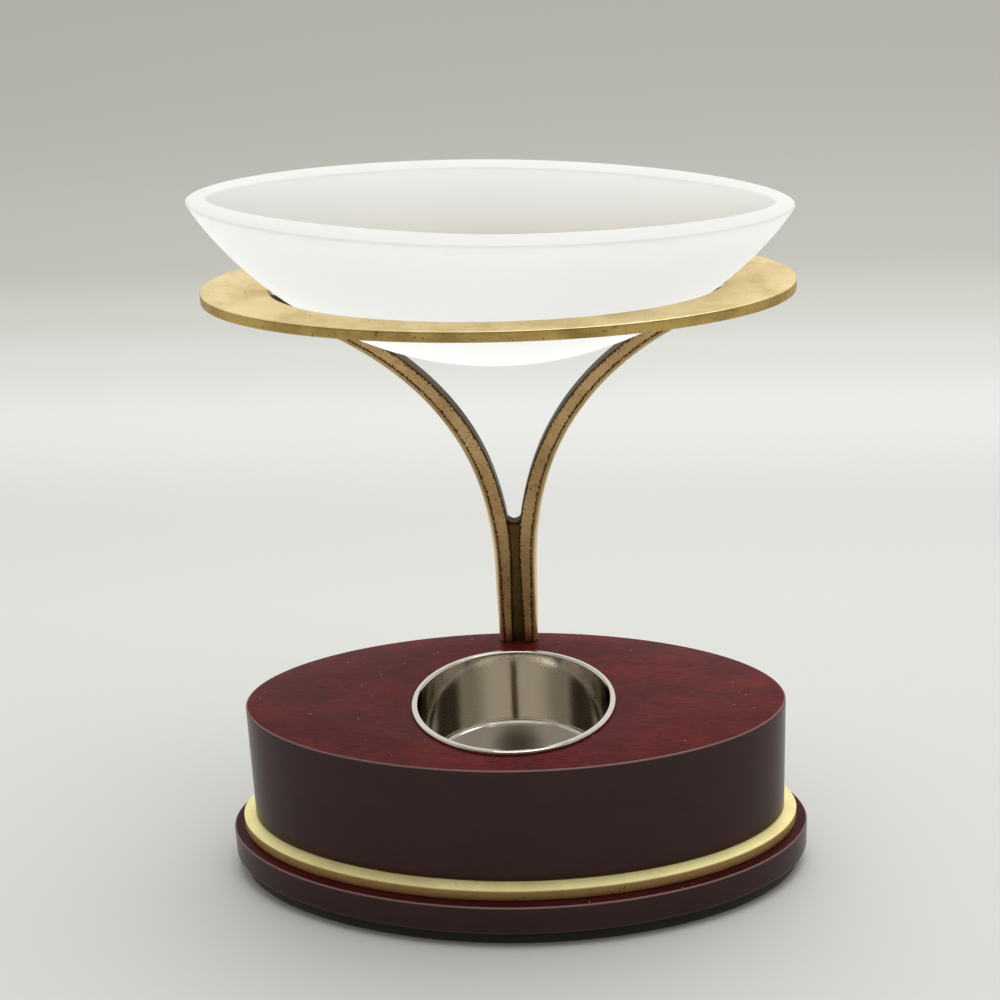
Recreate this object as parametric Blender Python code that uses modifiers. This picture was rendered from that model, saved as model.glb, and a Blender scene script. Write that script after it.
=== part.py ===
"""Tealight oil burner: an oval wood base with a metal tealight cup, and a brass stand with a bowl.

Units are metres and +Z is up. The origin is the centre of the base's underside. The front, where
the cup stands, faces -Y, and the post stands at the back.
"""

import math

import bmesh
import bpy
from mathutils import Matrix, Vector
from mathutils.geometry import interpolate_bezier

MM = 0.001

# Fits between pieces
SEAT_GAP = 0.2 * MM
HOLE_CLEARANCE = 0.3 * MM
BRAZE_GAP = 0.15 * MM
BOWL_FIT = 0.3 * MM

# Wood block, an oval between an ellipse and a lozenge
BLOCK_LENGTH = 113.8 * MM
BLOCK_WIDTH = 58.1 * MM
BLOCK_HEIGHT = 26.1 * MM
BLOCK_EDGE_ROUND = 0.5 * MM
BASE_OVAL_POWER = 1.92

# Brass band, held between the block and the plinth
BAND_THICKNESS = 2.9 * MM
BAND_PROUD = 2.6 * MM
BAND_REACH_IN = 6.0 * MM
BAND_EDGE_ROUND = 0.2 * MM

# Plinth and the pad under it
PLINTH_HEIGHT = 7.1 * MM
PLINTH_PROUD = 2.3 * MM
PLINTH_TOP_ROUND = 0.4 * MM
PLINTH_FOOT_ROUND = 1.3 * MM
FELT_THICKNESS = 2.8 * MM
FELT_INSET = 1.8 * MM

# Tealight cup
CUP_MOUTH_RADIUS = 20.1 * MM
CUP_FLOOR_RADIUS = 19.7 * MM
CUP_DEPTH = 16.3 * MM
CUP_WALL = 0.7 * MM
CUP_RIM_WIDTH = 1.4 * MM
CUP_RIM_HEIGHT = 0.7 * MM
CUP_FLOOR_FILLET = 1.2 * MM
CUP_OFFSET_Y = -1.8 * MM
CUP_RIM_ROUND = 0.6 * MM
CUP_FLOOR_SPACE = 0.6 * MM

# Brass post and arms
ARM_WIDTH = 4.1 * MM
ARM_FOOT_WIDTH = 3.1 * MM
ARM_END_WIDTH = 3.15 * MM
ARM_DEPTH = 3.6 * MM
ARM_OUTER_ROUND = 1.1 * MM
ARM_INNER_ROUND = 0.5 * MM
POST_LEDGE = 1.15 * MM
POST_STRAIGHT = 19.1 * MM
ARM_RISE_PULL = 41.7 * MM
ARM_END_PULL = 16.0 * MM
ARM_END_SLOPE = math.radians(20.0)
ARM_OVERRUN = 10.0 * MM
SWEEP_START = 4.0 * MM
SWEEP_SOFTNESS = 3.0 * MM

# Middle strip of the post, with its tenon in the block
WEB_WIDTH = 2.0 * MM
WEB_SETBACK = 0.8 * MM
WEB_BACK_INSET = 0.4 * MM
FORK_HEIGHT = 29.8 * MM
SADDLE_DIP = 0.4 * MM
TENON_WIDTH = 6.4 * MM
TENON_THICKNESS = 3.4 * MM
TENON_LENGTH = 9.0 * MM

# Ring and bowl
RING_LENGTH = 115.3 * MM
RING_WIDTH = 53.2 * MM
RING_THICKNESS = 2.25 * MM
RING_EDGE_ROUND = 0.3 * MM
RING_HEIGHT = 92.65 * MM
RING_OFFSET_Y = -0.6 * MM
BOWL_LENGTH = 116.5 * MM
BOWL_WIDTH = 54.9 * MM
BOWL_HEIGHT = 32.7 * MM
BOWL_SINK = 15.9 * MM
BOWL_BODY_POWER = 2.0
BOWL_RIM_POWER = 1.86
BOWL_LONG_FLOOR_PULL = 30.8 * MM
BOWL_LONG_SIDE_PULL = 12.9 * MM
BOWL_LONG_SIDE_SLOPE = math.radians(60.5)
BOWL_CROSS_FLOOR_PULL = 17.1 * MM
BOWL_CROSS_SIDE_PULL = 12.0 * MM
BOWL_CROSS_SIDE_SLOPE = math.radians(72.0)
BOWL_INNER_FLOOR_PULL = 16.0 * MM
BOWL_INNER_SIDE_PULL = 16.0 * MM
BOWL_INNER_SIDE_SLOPE = math.radians(89.0)
BOWL_INNER_RIM_POWER = 1.7
BOWL_FLOOR_THICKNESS = 3.0 * MM
BOWL_RIM_END_WIDTH = 3.9 * MM
BOWL_RIM_SIDE_WIDTH = 5.7 * MM
BOWL_RIM_FLAT_SHARE = 0.5
BOWL_RIM_DISH = 0.3 * MM
BOWL_RIM_ROUND = 0.8 * MM
BOWL_LIP_ROUND = 0.4 * MM
BOWL_TIP = math.radians(1.85)
BOWL_SLIDE = 1.3 * MM

# Screws, all from below
POST_SCREW_RADIUS = 1.2 * MM
POST_SCREW_HEAD_RADIUS = 2.4 * MM
POST_SCREW_HEAD_HEIGHT = 1.6 * MM
POST_SCREW_HEAD_ROUND = 0.5 * MM
POST_SCREW_CHAMFER = 0.4 * MM
POST_SCREW_GRIP = 7.0 * MM
POST_SCREW_END_SPACE = 0.6 * MM
THREAD_CLEARANCE = 0.12 * MM
WASHER_RADIUS = 3.0 * MM
WASHER_THICKNESS = 0.5 * MM
COUNTERBORE_DEPTH = 3.2 * MM
PLINTH_SCREW_SPACING = 76.0 * MM
PLINTH_SCREW_RADIUS = 1.7 * MM
PLINTH_SCREW_HEAD_RADIUS = 3.3 * MM
PLINTH_SCREW_HEAD_HEIGHT = 2.2 * MM
PLINTH_SCREW_LENGTH = 18.0 * MM
PLINTH_SCREW_POINT = 3.5 * MM
HEAD_RIM_SHARE = 0.15
SLOT_WIDTH = 0.8 * MM
SLOT_DEPTH = 0.8 * MM

# How finely round shapes are divided
OVAL_SEGMENTS = 96
BOWL_SEGMENTS = 64
BOWL_LEVELS = 10
BOWL_LEVEL_SPREAD = 1.7
SECTION_STEPS = 60
SEAT_ROUNDS = 8
CUP_SEGMENTS = 64
SCREW_SEGMENTS = 20
CORNER_STEPS = 3
ARM_STEPS = 26
FLAT_ANGLE = math.radians(0.05)
LEAST_EDGE_ANGLE = math.radians(20.0)

# Heights of the stack, from the table up
PLINTH_BOTTOM = FELT_THICKNESS + SEAT_GAP
PLINTH_TOP = PLINTH_BOTTOM + PLINTH_HEIGHT
BAND_BOTTOM = PLINTH_TOP + SEAT_GAP
BAND_TOP = BAND_BOTTOM + BAND_THICKNESS
BLOCK_BOTTOM = BAND_TOP + SEAT_GAP
BLOCK_TOP = BLOCK_BOTTOM + BLOCK_HEIGHT
RING_TOP = BLOCK_TOP + RING_HEIGHT
RING_BOTTOM = RING_TOP - RING_THICKNESS
BOWL_BOTTOM = RING_TOP - BOWL_SINK
BOWL_TOP = BOWL_BOTTOM + BOWL_HEIGHT
TENON_BOTTOM = BLOCK_TOP - TENON_LENGTH
COUNTERBORE_TOP = PLINTH_BOTTOM + COUNTERBORE_DEPTH

# Places and sizes that follow from the ones above
POST_Y = BLOCK_WIDTH / 2 - POST_LEDGE - ARM_DEPTH / 2
POST_FRONT_Y = POST_Y - ARM_DEPTH / 2
POST_BACK_Y = POST_Y + ARM_DEPTH / 2
ARM_FOOT_X = WEB_WIDTH / 2 + BRAZE_GAP + ARM_FOOT_WIDTH / 2
CUP_OUTER_RADIUS = CUP_MOUTH_RADIUS + CUP_WALL
CUP_BORE_RADIUS = CUP_OUTER_RADIUS + HOLE_CLEARANCE
CUP_BORE_DEPTH = CUP_DEPTH + CUP_WALL + CUP_FLOOR_SPACE
POST_SCREW_HOLE_RADIUS = POST_SCREW_RADIUS + HOLE_CLEARANCE
PLINTH_SCREW_HOLE_RADIUS = PLINTH_SCREW_RADIUS + HOLE_CLEARANCE
CUT_MARGIN = 2.0 * MM


def start_collections():
    """Clear the scene and make one collection for the parts and one for the cutters."""
    for item in list(bpy.data.objects):
        bpy.data.objects.remove(item)
    collections = {}
    for name in ("tealight_oil_burner", "cutters"):
        collections[name] = bpy.data.collections.new(name)
        bpy.context.scene.collection.children.link(collections[name])
    return collections["tealight_oil_burner"], collections["cutters"]


PARTS, CUTTERS = start_collections()


def material(name, colour, roughness, metallic=0.0, transmission=0.0):
    """A Principled material."""
    result = bpy.data.materials.new(name)
    result.use_nodes = True
    shader = result.node_tree.nodes["Principled BSDF"]
    shader.inputs["Base Color"].default_value = (*colour, 1.0)
    shader.inputs["Roughness"].default_value = roughness
    shader.inputs["Metallic"].default_value = metallic
    shader.inputs["Transmission Weight"].default_value = transmission
    return result


LACQUERED_WOOD = material("lacquered_wood", (0.060, 0.016, 0.014), 0.25)
BRASS = material("satin_brass", (0.78, 0.57, 0.27), 0.35, metallic=1.0)
NICKEL = material("nickel_plate", (0.72, 0.69, 0.63), 0.12, metallic=1.0)
OPAL_GLASS = material("frosted_glass", (0.86, 0.90, 0.90), 0.45, transmission=0.2)
FELT = material("dark_felt", (0.012, 0.018, 0.014), 0.95)
STEEL = material("zinc_plated_steel", (0.55, 0.55, 0.53), 0.35, metallic=1.0)


def object_from(bm, name, collection=PARTS):
    """Put a finished bmesh into a new object."""
    mesh = bpy.data.meshes.new(name)
    bm.to_mesh(mesh)
    bm.free()
    result = bpy.data.objects.new(name, mesh)
    collection.objects.link(result)
    return result


def finish(part, surface, sharp_angle=math.radians(32.0)):
    """Give a part its material and smooth shading, with its real edges kept sharp."""
    part.data.materials.append(surface)
    part.data.shade_smooth()
    part.data.set_sharp_from_angle(angle=sharp_angle)
    return part


def move_origin(part, place):
    """Put an object's origin at a place and leave its surface where it is."""
    part.data.transform(Matrix.Translation(-Vector(place)))
    part.location = place


def mark_cutter(cutter):
    cutter.hide_render = True
    cutter.display_type = "WIRE"
    return cutter


def add_boolean(part, cutter, operation="DIFFERENCE"):
    """Cut one solid out of another, or join the two."""
    modifier = part.modifiers.new(cutter.name, "BOOLEAN")
    modifier.operation = operation
    modifier.solver = "EXACT"
    modifier.object = cutter


def rod(name, radius, bottom, top, centre, segments=SCREW_SEGMENTS):
    """An upright cylinder that serves as a cutter."""
    bm = bmesh.new()
    bmesh.ops.create_cone(
        bm,
        cap_ends=True,
        segments=segments,
        radius1=radius,
        radius2=radius,
        depth=top - bottom,
        matrix=Matrix.Translation((centre[0], centre[1], (bottom + top) / 2)),
    )
    return mark_cutter(object_from(bm, name, CUTTERS))


def box(name, size, centre):
    """A box that serves as a cutter or as a piece to be joined on."""
    bm = bmesh.new()
    place = Matrix.Translation(centre) @ Matrix.Diagonal((*size, 1.0))
    bmesh.ops.create_cube(bm, size=1.0, matrix=place)
    return mark_cutter(object_from(bm, name, CUTTERS))


def turned(name, profile, centre, segments, collection=PARTS):
    """A solid of revolution. The profile starts and ends on the axis, and its outer side goes down."""
    bm = bmesh.new()
    verts = [bm.verts.new((radius, 0.0, z)) for radius, z in profile]
    for first, second in zip(verts, verts[1:]):
        bm.edges.new((first, second))
    part = object_from(bm, name, collection)
    part.location = (centre[0], centre[1], 0.0)
    screw = part.modifiers.new("turn", "SCREW")
    screw.axis = "Z"
    screw.steps = segments
    screw.render_steps = segments
    screw.use_merge_vertices = True
    screw.merge_threshold = 0.01 * MM
    screw.use_smooth_shade = True
    return part


def oval_point(angle, half_length, half_width, power):
    """A point on an oval: power 2 is an ellipse, and a lower power is more pointed."""
    across = math.cos(angle)
    along = math.sin(angle)
    reach = (abs(across) ** power + abs(along) ** power) ** (-1.0 / power)
    return half_length * across * reach, half_width * along * reach


def oval(half_length, half_width, power=2.0, count=OVAL_SEGMENTS, centre_y=0.0):
    """The points of an oval outline, counterclockwise."""
    points = []
    for step in range(count):
        x, y = oval_point(2 * math.pi * step / count, half_length, half_width, power)
        points.append((x, y + centre_y))
    return points


def base_oval(offset=0.0):
    """The base's outline, moved outwards by an offset."""
    return oval(BLOCK_LENGTH / 2 + offset, BLOCK_WIDTH / 2 + offset, BASE_OVAL_POWER)


def plate(name, outlines, bottom, top, collection=PARTS):
    """A flat piece with upright sides. The first outline is its edge, and any others are holes."""
    curve = bpy.data.curves.new(name, "CURVE")
    curve.dimensions = "2D"
    curve.fill_mode = "BOTH"
    curve.extrude = (top - bottom) / 2
    for outline in outlines:
        spline = curve.splines.new("POLY")
        spline.points.add(len(outline) - 1)
        for target, (x, y) in zip(spline.points, outline):
            target.co = (x, y, 0.0, 1.0)
        spline.use_cyclic_u = True
    holder = bpy.data.objects.new(name + "_outline", curve)
    collection.objects.link(holder)
    bpy.context.view_layer.update()
    graph = bpy.context.evaluated_depsgraph_get()
    mesh = bpy.data.meshes.new_from_object(holder.evaluated_get(graph))
    mesh.transform(Matrix.Translation((0.0, 0.0, (bottom + top) / 2)))
    mesh.materials.clear()
    bm = bmesh.new()
    bm.from_mesh(mesh)
    bmesh.ops.remove_doubles(bm, verts=bm.verts, dist=0.01 * MM)
    if len(outlines) == 1:
        bmesh.ops.dissolve_limit(bm, angle_limit=FLAT_ANGLE, verts=bm.verts, edges=bm.edges)
    bmesh.ops.recalc_face_normals(bm, faces=bm.faces)
    bpy.data.objects.remove(holder)
    bpy.data.meshes.remove(mesh)
    return object_from(bm, name, collection)


def round_rim(part, height, width, segments=2):
    """Round the edges that run between a flat face and the sides at a given height."""
    bm = bmesh.new()
    bm.from_mesh(part.data)
    rim = []
    for edge in bm.edges:
        level = all(abs(vert.co.z - height) < 0.01 * MM for vert in edge.verts)
        if level and edge.calc_face_angle(0.0) > LEAST_EDGE_ANGLE:
            rim.append(edge)
    bmesh.ops.bevel(
        bm,
        geom=rim,
        offset=width,
        segments=segments,
        profile=0.5,
        affect="EDGES",
        material=-1,
        clamp_overlap=True,
    )
    bm.to_mesh(part.data)
    bm.free()


def make_felt_pad():
    """The pad under the plinth, which is the face that the burner stands on."""
    offset = BAND_PROUD + PLINTH_PROUD - FELT_INSET
    return finish(plate("felt_pad", [base_oval(offset)], 0.0, FELT_THICKNESS), FELT)


def make_plinth():
    """The low wide foot of the base, with screw holes that are sunk into its underside."""
    outline = base_oval(BAND_PROUD + PLINTH_PROUD)
    part = plate("plinth", [outline], PLINTH_BOTTOM, PLINTH_TOP)
    round_rim(part, PLINTH_TOP, PLINTH_TOP_ROUND)
    round_rim(part, PLINTH_BOTTOM, PLINTH_FOOT_ROUND, segments=3)
    add_boolean(part, plinth_counterbore())
    for side, x in plinth_screw_places():
        add_boolean(part, plinth_countersink("plinth_countersink_" + side, x))
    return finish(part, LACQUERED_WOOD)


def make_trim_band():
    """The brass hoop that is caught between the plinth and the block."""
    inner = base_oval(-BAND_REACH_IN)
    part = plate("trim_band", [base_oval(BAND_PROUD), inner], BAND_BOTTOM, BAND_TOP)
    round_rim(part, BAND_TOP, BAND_EDGE_ROUND, segments=1)
    add_boolean(part, post_screw_hole("band_post_hole"))
    return finish(part, BRASS)


def make_wood_block():
    """The tall part of the base: a land below fits inside the band, and the cup drops in above."""
    part = plate("wood_block", [base_oval()], BLOCK_BOTTOM, BLOCK_TOP)
    round_rim(part, BLOCK_TOP, BLOCK_EDGE_ROUND)
    land_outline = base_oval(-BAND_REACH_IN - HOLE_CLEARANCE)
    land = plate("block_land", [land_outline], BAND_BOTTOM, BLOCK_BOTTOM + CUT_MARGIN, CUTTERS)
    add_boolean(part, mark_cutter(land), "UNION")
    bore = rod(
        "cup_bore",
        CUP_BORE_RADIUS,
        BLOCK_TOP - CUP_BORE_DEPTH,
        BLOCK_TOP + CUT_MARGIN,
        (0.0, CUP_OFFSET_Y),
        CUP_SEGMENTS,
    )
    add_boolean(part, bore)
    mortise_height = TENON_LENGTH + SEAT_GAP + CUT_MARGIN
    mortise = box(
        "post_mortise",
        (TENON_WIDTH + 2 * HOLE_CLEARANCE, TENON_THICKNESS + 2 * HOLE_CLEARANCE, mortise_height),
        (0.0, POST_Y, BLOCK_TOP + CUT_MARGIN - mortise_height / 2),
    )
    add_boolean(part, mortise)
    add_boolean(part, post_screw_hole("block_post_hole"))
    for side, x in plinth_screw_places():
        add_boolean(part, plinth_screw_hole("block_pilot_" + side, x))
    return finish(part, LACQUERED_WOOD)


def arc(centre, radius, start, end, steps=CORNER_STEPS):
    """Points on an arc in the profile's plane, with its ends included. Angles are in degrees."""
    points = []
    for step in range(steps + 1):
        angle = math.radians(start + (end - start) * step / steps)
        points.append((centre[0] + radius * math.cos(angle), centre[1] + radius * math.sin(angle)))
    return points


def cup_profile():
    """The cup's section: up its inner wall, over the rolled rim and down its outer wall."""
    floor = BLOCK_TOP - CUP_DEPTH
    rim_bottom = BLOCK_TOP + SEAT_GAP
    rim_top = rim_bottom + CUP_RIM_HEIGHT
    rim_radius = CUP_MOUTH_RADIUS + CUP_RIM_WIDTH
    inner_fillet = (CUP_FLOOR_RADIUS - CUP_FLOOR_FILLET, floor + CUP_FLOOR_FILLET)
    outer_round = CUP_FLOOR_FILLET + CUP_WALL
    outer_floor_radius = CUP_FLOOR_RADIUS + CUP_WALL
    points = [(0.0, floor)]
    points += arc(inner_fillet, CUP_FLOOR_FILLET, -90, 0)
    roll_height = rim_top - CUP_RIM_ROUND
    points += arc((CUP_MOUTH_RADIUS + CUP_RIM_ROUND, roll_height), CUP_RIM_ROUND, 180, 90)
    points += arc((rim_radius - CUP_RIM_ROUND, roll_height), CUP_RIM_ROUND, 90, 0)
    points.append((rim_radius, rim_bottom))
    points.append((CUP_OUTER_RADIUS, rim_bottom))
    outer_centre = (outer_floor_radius - outer_round, floor - CUP_WALL + outer_round)
    points += arc(outer_centre, outer_round, 0, -90)
    points.append((0.0, floor - CUP_WALL))
    return points


def make_tealight_cup():
    """The pressed metal cup, which hangs by its rim on the block and lifts out."""
    part = turned("tealight_cup", cup_profile(), (0.0, CUP_OFFSET_Y), CUP_SEGMENTS)
    return finish(part, NICKEL)


def plinth_screw_places():
    return (("left", -PLINTH_SCREW_SPACING / 2), ("right", PLINTH_SCREW_SPACING / 2))


def post_screw_end():
    """The height of the post screw's tip, inside the tenon."""
    return TENON_BOTTOM + POST_SCREW_GRIP


def post_screw_hole(name):
    """A cutter for the post screw's way up through the base, as far as the tenon."""
    top = TENON_BOTTOM - SEAT_GAP + HOLE_CLEARANCE
    return rod(name, POST_SCREW_HOLE_RADIUS, PLINTH_BOTTOM - CUT_MARGIN, top, (0.0, POST_Y))


def plinth_screw_hole(name, x):
    """A cutter for the straight part of a plinth screw's hole."""
    top = PLINTH_BOTTOM + SEAT_GAP + PLINTH_SCREW_LENGTH + HOLE_CLEARANCE
    return rod(name, PLINTH_SCREW_HOLE_RADIUS, PLINTH_BOTTOM - CUT_MARGIN, top, (x, 0.0))


def plinth_counterbore():
    """A cutter for the post screw's hole in the plinth, wider below for its head and washer."""
    sink_radius = WASHER_RADIUS + HOLE_CLEARANCE
    profile = [
        (0.0, PLINTH_TOP + CUT_MARGIN),
        (POST_SCREW_HOLE_RADIUS, PLINTH_TOP + CUT_MARGIN),
        (POST_SCREW_HOLE_RADIUS, COUNTERBORE_TOP),
        (sink_radius, COUNTERBORE_TOP),
        (sink_radius, PLINTH_BOTTOM - CUT_MARGIN),
        (0.0, PLINTH_BOTTOM - CUT_MARGIN),
    ]
    hole = turned("plinth_counterbore", profile, (0.0, POST_Y), SCREW_SEGMENTS, CUTTERS)
    return mark_cutter(hole)


def plinth_countersink(name, x):
    """A cutter for a wood screw's hole in the plinth, with a cone for its head."""
    sink_radius = PLINTH_SCREW_HEAD_RADIUS + HOLE_CLEARANCE
    head_bottom = PLINTH_BOTTOM + SEAT_GAP
    rim = PLINTH_SCREW_HEAD_HEIGHT * HEAD_RIM_SHARE
    profile = [
        (0.0, PLINTH_TOP + CUT_MARGIN),
        (PLINTH_SCREW_HOLE_RADIUS, PLINTH_TOP + CUT_MARGIN),
        (PLINTH_SCREW_HOLE_RADIUS, head_bottom + PLINTH_SCREW_HEAD_HEIGHT),
        (sink_radius, head_bottom + rim),
        (sink_radius, PLINTH_BOTTOM - CUT_MARGIN),
        (0.0, PLINTH_BOTTOM - CUT_MARGIN),
    ]
    return mark_cutter(turned(name, profile, (x, 0.0), SCREW_SEGMENTS, CUTTERS))


def cut_slot(part, bottom, radius, centre):
    """Cut a screwdriver slot into a head that faces down."""
    size = (2 * radius + CUT_MARGIN, SLOT_WIDTH, SLOT_DEPTH + CUT_MARGIN)
    place = (centre[0], centre[1], bottom + SLOT_DEPTH - size[2] / 2)
    add_boolean(part, box(part.name + "_slot", size, place))


def make_post_screw():
    """The machine screw that pulls the post down onto the block."""
    head_top = COUNTERBORE_TOP - WASHER_THICKNESS - 2 * SEAT_GAP
    head_bottom = head_top - POST_SCREW_HEAD_HEIGHT
    tip = post_screw_end()
    profile = [
        (0.0, tip),
        (POST_SCREW_RADIUS - POST_SCREW_CHAMFER, tip),
        (POST_SCREW_RADIUS, tip - POST_SCREW_CHAMFER),
        (POST_SCREW_RADIUS, head_top),
        (POST_SCREW_HEAD_RADIUS, head_top),
        (POST_SCREW_HEAD_RADIUS, head_bottom + POST_SCREW_HEAD_ROUND),
        (POST_SCREW_HEAD_RADIUS - POST_SCREW_HEAD_ROUND, head_bottom),
        (0.0, head_bottom),
    ]
    part = turned("post_screw", profile, (0.0, POST_Y), SCREW_SEGMENTS)
    cut_slot(part, head_bottom, POST_SCREW_HEAD_RADIUS, (0.0, POST_Y))
    return finish(part, STEEL)


def make_post_washer():
    """The washer between the post screw's head and the plinth."""
    top = COUNTERBORE_TOP - SEAT_GAP
    bottom = top - WASHER_THICKNESS
    circle = oval(WASHER_RADIUS, WASHER_RADIUS, count=SCREW_SEGMENTS, centre_y=POST_Y)
    hole_radius = POST_SCREW_RADIUS + THREAD_CLEARANCE
    hole = oval(hole_radius, hole_radius, count=SCREW_SEGMENTS, centre_y=POST_Y)
    return finish(plate("post_washer", [circle, hole], bottom, top), STEEL)


def make_plinth_screw(side, x):
    """A countersunk wood screw that holds the plinth and the band to the block."""
    bottom = PLINTH_BOTTOM + SEAT_GAP
    tip = bottom + PLINTH_SCREW_LENGTH
    rim = PLINTH_SCREW_HEAD_HEIGHT * HEAD_RIM_SHARE
    profile = [
        (0.0, tip),
        (PLINTH_SCREW_RADIUS, tip - PLINTH_SCREW_POINT),
        (PLINTH_SCREW_RADIUS, bottom + PLINTH_SCREW_HEAD_HEIGHT),
        (PLINTH_SCREW_HEAD_RADIUS, bottom + rim),
        (PLINTH_SCREW_HEAD_RADIUS, bottom),
        (0.0, bottom),
    ]
    part = turned("plinth_screw_" + side, profile, (x, 0.0), SCREW_SEGMENTS)
    cut_slot(part, bottom, PLINTH_SCREW_HEAD_RADIUS, (x, 0.0))
    return finish(part, STEEL)


def bowl_section(half, floor_pull, side_pull, side_slope, bottom, top):
    """One side of the bowl's section, from its middle to its rim, as (reach, height)."""
    rim = Vector((half, top))
    slope = Vector((math.cos(side_slope), math.sin(side_slope)))
    floor_handle = Vector((floor_pull, bottom))
    side_handle = rim - slope * side_pull
    return interpolate_bezier(Vector((0.0, bottom)), floor_handle, side_handle, rim, SECTION_STEPS)


def bowl_sections(inside=False):
    """The long and the cross section of the bowl's outer or inner skin."""
    half_length = BOWL_LENGTH / 2
    half_width = BOWL_WIDTH / 2
    ends = (BOWL_BOTTOM, BOWL_TOP)
    long_curve = (BOWL_LONG_FLOOR_PULL, BOWL_LONG_SIDE_PULL, BOWL_LONG_SIDE_SLOPE)
    cross_curve = (BOWL_CROSS_FLOOR_PULL, BOWL_CROSS_SIDE_PULL, BOWL_CROSS_SIDE_SLOPE)
    if inside:
        half_length -= BOWL_RIM_END_WIDTH
        half_width -= BOWL_RIM_SIDE_WIDTH
        ends = (BOWL_BOTTOM + BOWL_FLOOR_THICKNESS, BOWL_TOP - BOWL_RIM_DISH)
        cross_curve = (BOWL_INNER_FLOOR_PULL, BOWL_INNER_SIDE_PULL, BOWL_INNER_SIDE_SLOPE)
    long_section = bowl_section(half_length, *long_curve, *ends)
    cross_section = bowl_section(half_width, *cross_curve, *ends)
    return long_section, cross_section


def reach_at(section, height):
    """How far a section reaches from the middle at a height."""
    for lower, upper in zip(section, section[1:]):
        if lower.y <= height <= upper.y:
            share = (height - lower.y) / (upper.y - lower.y)
            return lower.x + (upper.x - lower.x) * share
    return section[-1].x


def bowl_power(height, inside=False):
    """How pointed the bowl's oval is at a height: more so from the ring up to the rim."""
    rim = BOWL_INNER_RIM_POWER if inside else BOWL_RIM_POWER
    share = (height - RING_TOP) / (BOWL_TOP - RING_TOP)
    return BOWL_BODY_POWER + (rim - BOWL_BODY_POWER) * max(share, 0.0)


def bowl_levels(inside=False):
    """The ovals of one skin, as (half length, half width, power, height), from floor to rim."""
    long_section, cross_section = bowl_sections(inside)
    bottom = long_section[0].y
    top = long_section[-1].y
    levels = []
    for step in range(1, BOWL_LEVELS + 1):
        turn = step / BOWL_LEVELS
        height = bottom + (top - bottom) * turn ** BOWL_LEVEL_SPREAD
        half_length = reach_at(long_section, height)
        half_width = reach_at(cross_section, height)
        levels.append((half_length, half_width, bowl_power(height, inside), height))
    first_length, first_width, power, _ = levels[0]
    return [(first_length / 2, first_width / 2, power, bottom)] + levels


def rim_flat_edge():
    """The oval where the rim's flat ends and its shallow inner slope starts."""
    half_length = BOWL_LENGTH / 2 - BOWL_RIM_END_WIDTH * BOWL_RIM_FLAT_SHARE
    half_width = BOWL_WIDTH / 2 - BOWL_RIM_SIDE_WIDTH * BOWL_RIM_FLAT_SHARE
    power = BOWL_RIM_POWER + (BOWL_INNER_RIM_POWER - BOWL_RIM_POWER) * BOWL_RIM_FLAT_SHARE
    return half_length, half_width, power, BOWL_TOP


def skin(bm, rings):
    """Cover a row of point rings with a skin and close it with a flat cap at each end."""
    for lower, upper in zip(rings, rings[1:]):
        for step in range(len(lower)):
            after = (step + 1) % len(lower)
            bm.faces.new((lower[step], lower[after], upper[after], upper[step]))
    bm.faces.new(list(reversed(rings[0])))
    bm.faces.new(rings[-1])
    bmesh.ops.recalc_face_normals(bm, faces=bm.faces)


def loft(name, levels, segments, centre_y):
    """A closed skin over a row of level ovals, with a flat cap at each end."""
    bm = bmesh.new()
    rings = []
    for half_length, half_width, power, z in levels:
        outline = oval(half_length, half_width, power, segments, centre_y)
        rings.append([bm.verts.new((x, y, z)) for x, y in outline])
    skin(bm, rings)
    return object_from(bm, name)


def make_glass_bowl():
    """The loose oval bowl, which sits in the ring with its right end tipped a little low."""
    levels = bowl_levels() + [rim_flat_edge()] + bowl_levels(inside=True)[::-1]
    part = loft("glass_bowl", levels, BOWL_SEGMENTS, RING_OFFSET_Y)
    round_rim(part, BOWL_TOP, BOWL_RIM_ROUND, segments=3)
    round_rim(part, BOWL_TOP - BOWL_RIM_DISH, BOWL_LIP_ROUND, segments=1)
    move_origin(part, (0.0, RING_OFFSET_Y, RING_TOP))
    tip = Matrix.Rotation(BOWL_TIP, 4, "Y")
    part.data.transform(Matrix.Translation((-BOWL_SLIDE, 0.0, 0.0)) @ tip)
    return finish(part, OPAL_GLASS, math.radians(40.0))


def ring_opening():
    """The half length and half width of the hole that takes the tipped bowl at its low end."""
    long_section, cross_section = bowl_sections()
    reach = reach_at(long_section, RING_TOP)
    for _ in range(SEAT_ROUNDS):
        reach = reach_at(long_section, RING_TOP + reach * math.tan(BOWL_TIP))
    half_length = reach / math.cos(BOWL_TIP) - BOWL_SLIDE + BOWL_FIT
    return half_length, reach_at(cross_section, RING_TOP) + BOWL_FIT


def make_bowl_ring():
    """The flat oval ring that carries the bowl."""
    outer = oval(RING_LENGTH / 2, RING_WIDTH / 2, centre_y=RING_OFFSET_Y)
    opening = oval(*ring_opening(), BOWL_BODY_POWER, centre_y=RING_OFFSET_Y)
    part = plate("bowl_ring", [outer, opening], RING_BOTTOM, RING_TOP)
    round_rim(part, RING_TOP, RING_EDGE_ROUND)
    round_rim(part, RING_BOTTOM, RING_EDGE_ROUND)
    return finish(part, BRASS)


def arm_reach():
    """How far out an arm meets the ring: the middle of the ring's wide end."""
    return (ring_opening()[0] + RING_LENGTH / 2) / 2


def arm_width(height):
    """A bar's width at a height above the block: widest at the fork."""
    if height < FORK_HEIGHT:
        return ARM_FOOT_WIDTH + (ARM_WIDTH - ARM_FOOT_WIDTH) * height / FORK_HEIGHT
    share = (height - FORK_HEIGHT) / (RING_BOTTOM - BLOCK_TOP - FORK_HEIGHT)
    return ARM_WIDTH + (ARM_END_WIDTH - ARM_WIDTH) * min(share, 1.0)


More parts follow.
